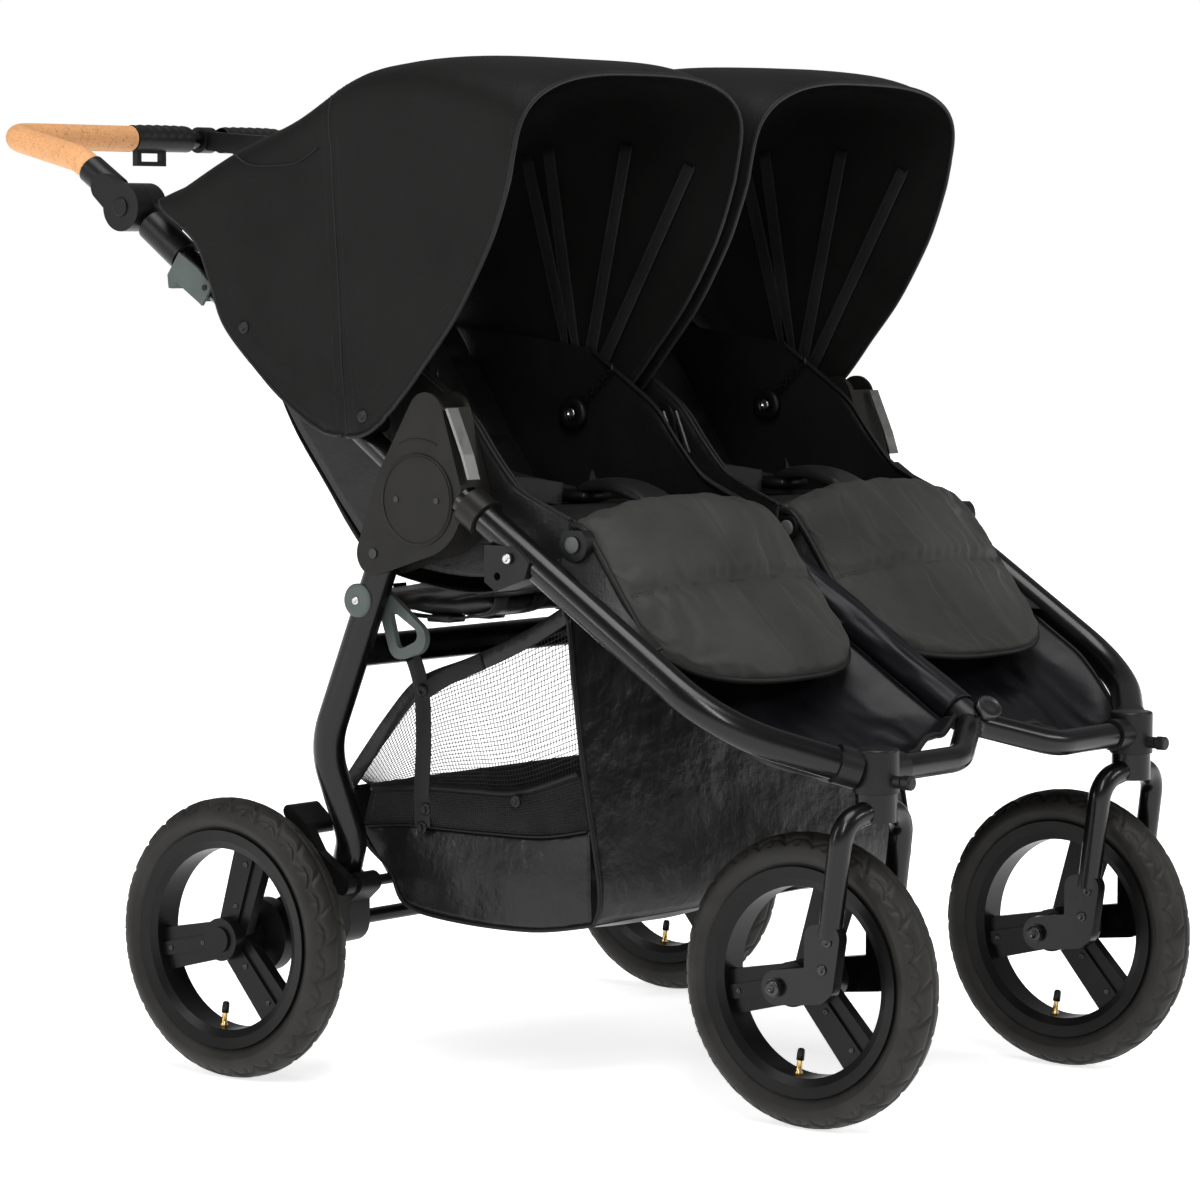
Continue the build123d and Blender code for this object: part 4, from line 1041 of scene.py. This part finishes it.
def make_seat_underside(name, s):
    """The sling below the seat back, its flat pouch and three buckled straps."""
    sling = []
    for y, z in smooth_line([(-10, 736), (-52, 664), (-97, 603), (-124, 568), (-156, 537),
                             (-204, 521), (-298, 512), (-400, 540)], 50):
        sling.append([at(s * (22 + 296 * k / 30), y + 6 + ripple((k / 100, y / 1000, s), 0.07, 3.0),
                         z - 3 + ripple((k / 100, z / 1000, s), 0.07, 3.0)) for k in range(31)])
    shell = cloth(f"{name}_seat_sling", sling, 1.5, LINING)
    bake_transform(shell)

    def roll(u, v):
        y, z = -112 - 186 * v, 497 - 5 * math.sin(math.pi * v)
        sway = ripple((u / 4, v / 4, s), 0.05, 4.0)
        return at(s * (54 + 258 * u), y, z + sway), Vector((0, 0, 1))

    def roll_thickness(u, v):
        rim = soft_rim(2 * u - 1, 2 * v - 1, 6, 4)
        folds = 1 - 0.35 * math.exp(-((v - 0.38) / 0.05) ** 2)
        folds -= 0.3 * math.exp(-((v - 0.7) / 0.04) ** 2)
        return 2 + 8 * rim * folds, 3 + 10 * rim * folds
    pouch = cushion(f"{name}_under_seat_pouch", 40, 36, roll, roll_thickness, LINING)
    settle(refine(pouch), "frame", "seat_fabric")
    straps, buckles = [], []
    for x in (96, 236, 298):
        path = smooth_line([at(s * x, -112, 505), at(s * x, -122, 489), at(s * x, -180, 480),
                            at(s * x, -250, 480), at(s * x, -290, 488), at(s * x, -300, 503)], 30)
        straps.append(strap("strap", path, (1, 0, 0), 20, 2.2, WEBBING))
        buckles.append(strap("buckle", [at(s * x, -214 - 3.4 * k, 478.5) for k in range(9)],
                             (1, 0, 0), 27, 7.0, PLASTIC))
    settle(join(f"{name}_under_straps", straps), "frame", "seat_fabric")
    settle(join(f"{name}_under_buckles", buckles), "frame", "black_plastic")


for name, s in SIDES.items():
    make_hood(name, s)
    make_hood_trim(name, s)
    make_leg_pad(name, s)
    make_seat(name, s)
    make_wings(name, s)
    make_footwell(name, s)
    make_seat_underside(name, s)
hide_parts("footwell")
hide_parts("harness_buckles")
make_rail_sleeve()
make_basket()


# ---------------------------------------------------------------- wheels
SCALLOPS = 26          # along each shoulder of a tyre
GROOVE_DEPTH = 2.8
HAIR_ROOT = 133.6      # distance of the moulding hairs from the axle


def tread_depth(angle, lateral):
    """How deep the grooves cut, at an angle round the tyre and a place across it: scallops along
    each shoulder, a slanted vein from each cusp, short ticks between them and a centre groove."""
    phase = (angle / (2 * math.pi / SCALLOPS) + (0.5 if lateral > 0 else 0.0)) % 1.0
    place = abs(lateral)
    scallop = math.exp(-((place - 0.98 + 0.40 * math.sin(math.pi * phase) ** 0.8) / 0.055) ** 2)
    slant = (phase - 0.5 * (0.9 - place) + 0.5) % 1.0 - 0.5
    vein = math.exp(-(slant / 0.055) ** 2) * (0.12 < place < 0.9)
    tick = math.exp(-((phase - 0.5 - 0.3 * (place - 0.7)) / 0.05) ** 2) * (0.66 < place < 1.02)
    centre = math.exp(-(lateral / 0.07) ** 2) * 0.8
    return max(scallop, vein * 0.9, tick * 0.8, centre)


def make_tyre(name, body, x, y):
    """A tyre with its cut tread, and the small moulding hairs on its shoulders."""
    around, across = 416, 66
    profile = [(-15.2, 107.5, 3)]
    for k in range(across):
        a = math.radians(-128 + 256 * k / (across - 1))
        turn = math.degrees(a)
        if abs(turn) < 90:
            wide, radius = 23.6 * math.sin(a), 124.5 + 19.4 * math.cos(a)
        else:
            wide = math.copysign(23.6 - 5.6 * ((abs(turn) - 90) / 38) ** 1.3, a)
            radius = 124.5 + 17.5 * math.cos(a)
        profile.append((wide, radius, turn / 62))
    profile.append((15.2, 107.5, 3))
    rows = []
    for i in range(around):
        angle = 2 * math.pi * i / around
        row = []
        for wide, radius, lateral in profile:
            cut = GROOVE_DEPTH * tread_depth(angle, lateral) if abs(lateral) < 1.3 else 0.0
            rib = 0.45 * math.exp(-((abs(lateral) - 1.55) / 0.05) ** 2)
            r = radius - cut * 0.85 + rib * 0.4
            w = wide * (1 - cut * 0.012) + math.copysign(rib, wide)
            row.append(at(x + w, y - r * math.cos(angle), WHEEL_R + r * math.sin(angle)))
        rows.append(row)
    count = len(profile)
    last = (around - 1) * count
    faces = grid_faces(around, count)
    faces += [(last + j, last + j + 1, j + 1, j) for j in range(count - 1)]
    faces += [(i * count, ((i + 1) % around) * count, ((i + 1) % around) * count + count - 1,
               i * count + count - 1) for i in range(around)]
    tyre = make_object(f"{name}_tread_tyre", [p for row in rows for p in row], faces, TYRE)
    settle(tyre, body, "tyre_rubber", f"{name}_tyre")
    hairs = []
    chance = random.Random(len(name) + int(x))
    for k in range(56):
        angle = math.radians(k * 360 / 56 + chance.uniform(-2, 2))
        if math.sin(angle) < -0.86:
            continue
        side_of = 1 if k % 2 else -1
        out = Vector((0, -math.cos(angle), math.sin(angle)))
        root = at(x + side_of * 20.5, y - HAIR_ROOT * math.cos(angle),
                  WHEEL_R + HAIR_ROOT * math.sin(angle))
        bend = Vector((side_of * chance.uniform(1.2, 2.4), chance.uniform(-1, 1),
                       chance.uniform(-1, 1)))
        tip = root + (out * chance.uniform(1.2, 2.4) + bend) * MM
        hairs.append(tube("hair", [root, root.lerp(tip, 0.5) + out * 0.4 * MM, tip],
                          lambda t: 0.34 * (1 - 0.7 * t), TYRE, 4))
    settle(join(f"{name}_vent_hairs", hairs), body, "tyre_rubber")


def make_rim_details(name, body, x, y, outer):
    """Screws on the spokes, and the brass valve with its cap."""
    screws = []
    for spoke in (72, 192, 312):
        a = math.radians(spoke)
        for distance in (36, 82):
            for facing in (-1, 1):
                place = at(x + facing * 9, y - distance * math.cos(a),
                           WHEEL_R + distance * math.sin(a))
                screws.append(screw("screw", place, (facing, 0, 0), 2.9, DARK_STEEL, 1.4))
    settle(join(f"{name}_rim_screws", screws), body, "steel")
    a = math.radians(262)
    inward = Vector((0, math.cos(a), -math.sin(a)))
    foot = at(x + outer * 2, y - 94 * math.cos(a), WHEEL_R + 94 * math.sin(a))
    stem = turned(f"{name}_valve_stem", foot, inward,
                  [(0, 4.4), (3, 4.2), (4, 3.0), (15, 2.6), (16, 2.6)], BRASS, 20)
    settle(stem, body, "steel")
    cap = turned(f"{name}_valve_cap", foot + inward * 15 * MM, inward,
                 [(0, 3.9), (7, 3.8), (10.5, 3.4), (11.5, 2.2), (11.6, 0.05)], PLASTIC, 14)
    settle(cap, body, "black_plastic")


for name, s in SIDES.items():
    make_tyre(f"{name}_rear", f"{name}_rear_wheel", s * REAR_X, 0)
    make_rim_details(f"{name}_rear_rim", f"{name}_rear_wheel", s * REAR_X, 0, s)
    make_tyre(f"{name}_front", f"{name}_front_wheel", s * FRONT_X, FRONT_AXLE_Y)
    make_rim_details(f"{name}_front_rim", f"{name}_front_wheel", s * FRONT_X, FRONT_AXLE_Y, -1)


# ---------------------------------------------------------------- small hardware
def make_fork_details(name, s):
    """Bolts on both faces of a front fork."""
    bolts = []
    x = s * FRONT_X
    for out in (-1, 1):
        for y, z in ((-686, 193), (-680, 166)):
            bolts.append(screw("bolt", at(x + out * 57, y, z), (out, 0, 0), 5.2, DARK_STEEL, 2.2))
        bolts.append(screw("bolt", at(x + out * 62, FRONT_AXLE_Y, WHEEL_R), (out, 0, 0), 8.0,
                           DARK_STEEL, 3.0))
    settle(join(f"{name}_fork_bolts", bolts), f"{name}_caster", "steel")


def make_grip_ribs():
    """Waves along the top of each rubber grip."""
    bar_y, bar_z, start, end = 381, 966, 28, 116
    for name, s in SIDES.items():
        rows = []
        for k in range(133):
            x = start + (end - start) * k / 132
            wave = abs(math.sin(math.pi * (k / 132) * 6.5)) ** 0.7
            row = []
            for j in range(24):
                a = 2 * math.pi * j / 24
                top = max(math.cos(a), 0) ** 0.6
                r = 14.15 + 1.7 * wave * top * math.sin(math.pi * k / 132) ** 0.2 + (
                    0.5 if abs(math.sin(a)) > 0.985 else 0)
                row.append(at(s * x, bar_y + r * math.sin(a), bar_z + r * math.cos(a)))
            rows.append(row)
        grip = make_object(f"{name}_ribbed_grip", [p for row in rows for p in row],
                           capped_faces(133, 24), GRIP)
        settle(grip, "handlebar", "grip_rubber")
    seam = []
    for s in SIDES.values():
        path = smooth_line([at(s * 118, bar_y, bar_z - 14.1), at(s * 262, bar_y, bar_z - 14.1)], 50)
        seam.append(tube("seam", path, 0.6, CORK, 6))
    settle(join("cork_seams", seam), "handlebar", "cork")


def make_leg_clip():
    """Slate saddle clip on the outside of the right leg, with its screw."""
    clip = turned("leg_clip", at(-359.5, -166, 497), (-1, 0, 0),
                  [(0, 17), (3, 17), (5, 15.5), (5.6, 12), (5.6, 0.05)], SLATE, 40)
    settle(clip, "rear_frame", "slate_plastic")
    settle(screw("leg_clip_screw", at(-364.6, -166, 497), (-1, 0, 0), 4.2, STEEL, 2.0),
           "rear_frame", "steel")


def make_frame_screws():
    """Bolts of the brackets, rings on the hub covers and caps of the seat's receptors."""
    screws = [screw("screw", at(s * 376, -371, 548), (s, 0, 0), 5.0, STEEL, 2.2)
              for s in SIDES.values()]
    settle(join("bracket_bolts", screws), "frame", "steel")
    covers = []
    for s in SIDES.values():
        ring = [at(s * 367.3, HUB[0] + 43 * math.cos(a), HUB[1] + 43 * math.sin(a))
                for a in (2 * math.pi * k / 72 for k in range(72))]
        covers.append(tube("ring", ring, 0.8, HOUSING, 6, closed=True))
        arc = [at(s * 365.4, HUB[0] + 60 * math.cos(a), HUB[1] + 60 * math.sin(a))
               for a in (math.radians(66 + 3 * k) for k in range(17))]
        covers.append(tube("ring", arc, 0.8, HOUSING, 6))
    settle(join("hub_cover_rings", covers), "frame", "black_plastic")
    caps = []
    for s in SIDES.values():
        caps.append(turned("cap", at(s * 335.3, -419, 561), (s, 0, 0),
                           [(0, 8.2), (1.4, 8.2), (2.4, 7), (2.8, 4), (2.8, 0.05)], CAP_GREY, 28))
        caps.append(turned("cap", at(s * 14.2, -419, 561), (-s, 0, 0),
                           [(0, 8.2), (1.0, 8.0), (1.6, 6.5), (1.8, 0.05)], CAP_GREY, 28))
    settle(join("receptor_caps", caps), "frame", "slate_plastic")


def make_badge():
    """Plain dark oval badge over the crossbar's raised middle."""
    place = at(0, -676.5, 393)
    axis = (0, -0.83, 0.55)
    shift = Matrix.Translation(place) @ Matrix.Diagonal((1.5, 1, 1, 1)) @ Matrix.Translation(-place)
    disc = turned("front_badge", place, axis, [(-3, 12.4), (3.0, 12.4), (4.2, 11.6), (4.4, 10.4),
                                               (3.7, 9.9), (4.1, 6.0), (4.3, 0.05)],
                  DARK_STEEL, 48)
    disc.data.transform(shift)
    settle(disc, "frame", "satin_trim")


for name, s in SIDES.items():
    make_fork_details(name, s)
make_grip_ribs()
make_leg_clip()
make_frame_screws()
make_badge()


# ---------------------------------------------------------------- floor, light and camera
def make_stage():
    """A plain pale floor that gives off a little light, and an even studio sky."""
    bpy.ops.mesh.primitive_plane_add(size=40)
    floor = bpy.context.object
    floor.name = "floor"
    shade = Shade("pale_floor", (0.86, 0.86, 0.86), 0.6, Emission_Color=(1, 1, 1, 1),
                  Emission_Strength=0.72)
    shade.spread(shade.noise(1.5, 2.0), (0.85, 0.85, 0.85), (0.87, 0.87, 0.87))
    floor.data.materials.append(shade.material)
    world = bpy.data.worlds.new("studio")
    world.use_nodes = True
    nodes, links = world.node_tree.nodes, world.node_tree.links
    place = nodes.new("ShaderNodeTexCoord")
    split = nodes.new("ShaderNodeSeparateXYZ")
    ramp = nodes.new("ShaderNodeValToRGB")
    stops = ramp.color_ramp.elements
    stops[0].position, stops[0].color = 0.07, (1, 1, 1, 1)
    stops[1].position, stops[1].color = 0.16, (0.22, 0.22, 0.22, 1)
    links.new(place.outputs["Generated"], split.inputs[0])
    links.new(split.outputs["Z"], ramp.inputs["Fac"])
    links.new(ramp.outputs["Color"], nodes["Background"].inputs["Color"])
    nodes["Background"].inputs["Strength"].default_value = 1.0
    bpy.context.scene.world = world


def sun_light(name, direction, angle, power):
    data = bpy.data.lights.new(name, "SUN")
    data.angle = math.radians(angle)
    data.energy = power
    lamp = bpy.data.objects.new(name, data)
    bpy.context.scene.collection.objects.link(lamp)
    lamp.rotation_euler = Vector(direction).to_track_quat("-Z", "Y").to_euler()


def area_light(name, place, target, size, power):
    data = bpy.data.lights.new(name, "AREA")
    data.shape = "RECTANGLE"
    data.size, data.size_y = size
    data.energy = power
    lamp = bpy.data.objects.new(name, data)
    bpy.context.scene.collection.objects.link(lamp)
    lamp.location = place
    lamp.rotation_euler = (Vector(target) - Vector(place)).to_track_quat("-Z", "Y").to_euler()


CAMERA_YAW, CAMERA_PITCH, CAMERA_LENS = 51.455, 4.381, 141.19
CAMERA_PLACE = (-3864.6, -3265.3, 855.3)


def make_camera():
    """The camera, ahead of the stroller and off to its right, looking slightly down.
    The camera that stands where the view is judged from.
    """
    yaw, pitch = math.radians(CAMERA_YAW), math.radians(CAMERA_PITCH)
    ahead = Vector((math.sin(yaw) * math.cos(pitch), math.cos(yaw) * math.cos(pitch),
                    -math.sin(pitch)))
    right = Vector((math.cos(yaw), -math.sin(yaw), 0))
    up = right.cross(ahead)
    data = bpy.data.cameras.new("camera")
    data.sensor_width = 36
    data.lens = CAMERA_LENS
    data.clip_end = 200
    camera = bpy.data.objects.new("camera", data)
    bpy.context.scene.collection.objects.link(camera)
    camera.matrix_world = Matrix.Translation(at(*CAMERA_PLACE)) @ Matrix(
        (right, up, -ahead)).transposed().to_4x4()
    bpy.context.scene.camera = camera


make_stage()
sun_light("overhead", (0.12, 0.10, -1), 38, 2.3)
area_light("key", (-2.6, -2.2, 3.0), (0, 0, 0.5), (0.5, 2.4), 75)
area_light("side", (-3.2, 1.4, 1.8), (0, 0, 0.6), (0.4, 2.2), 34)
area_light("front", (1.6, -3.4, 2.2), (0, -0.3, 0.5), (2.0, 0.5), 40)
make_camera()
bpy.context.scene.view_settings.view_transform = "Standard"
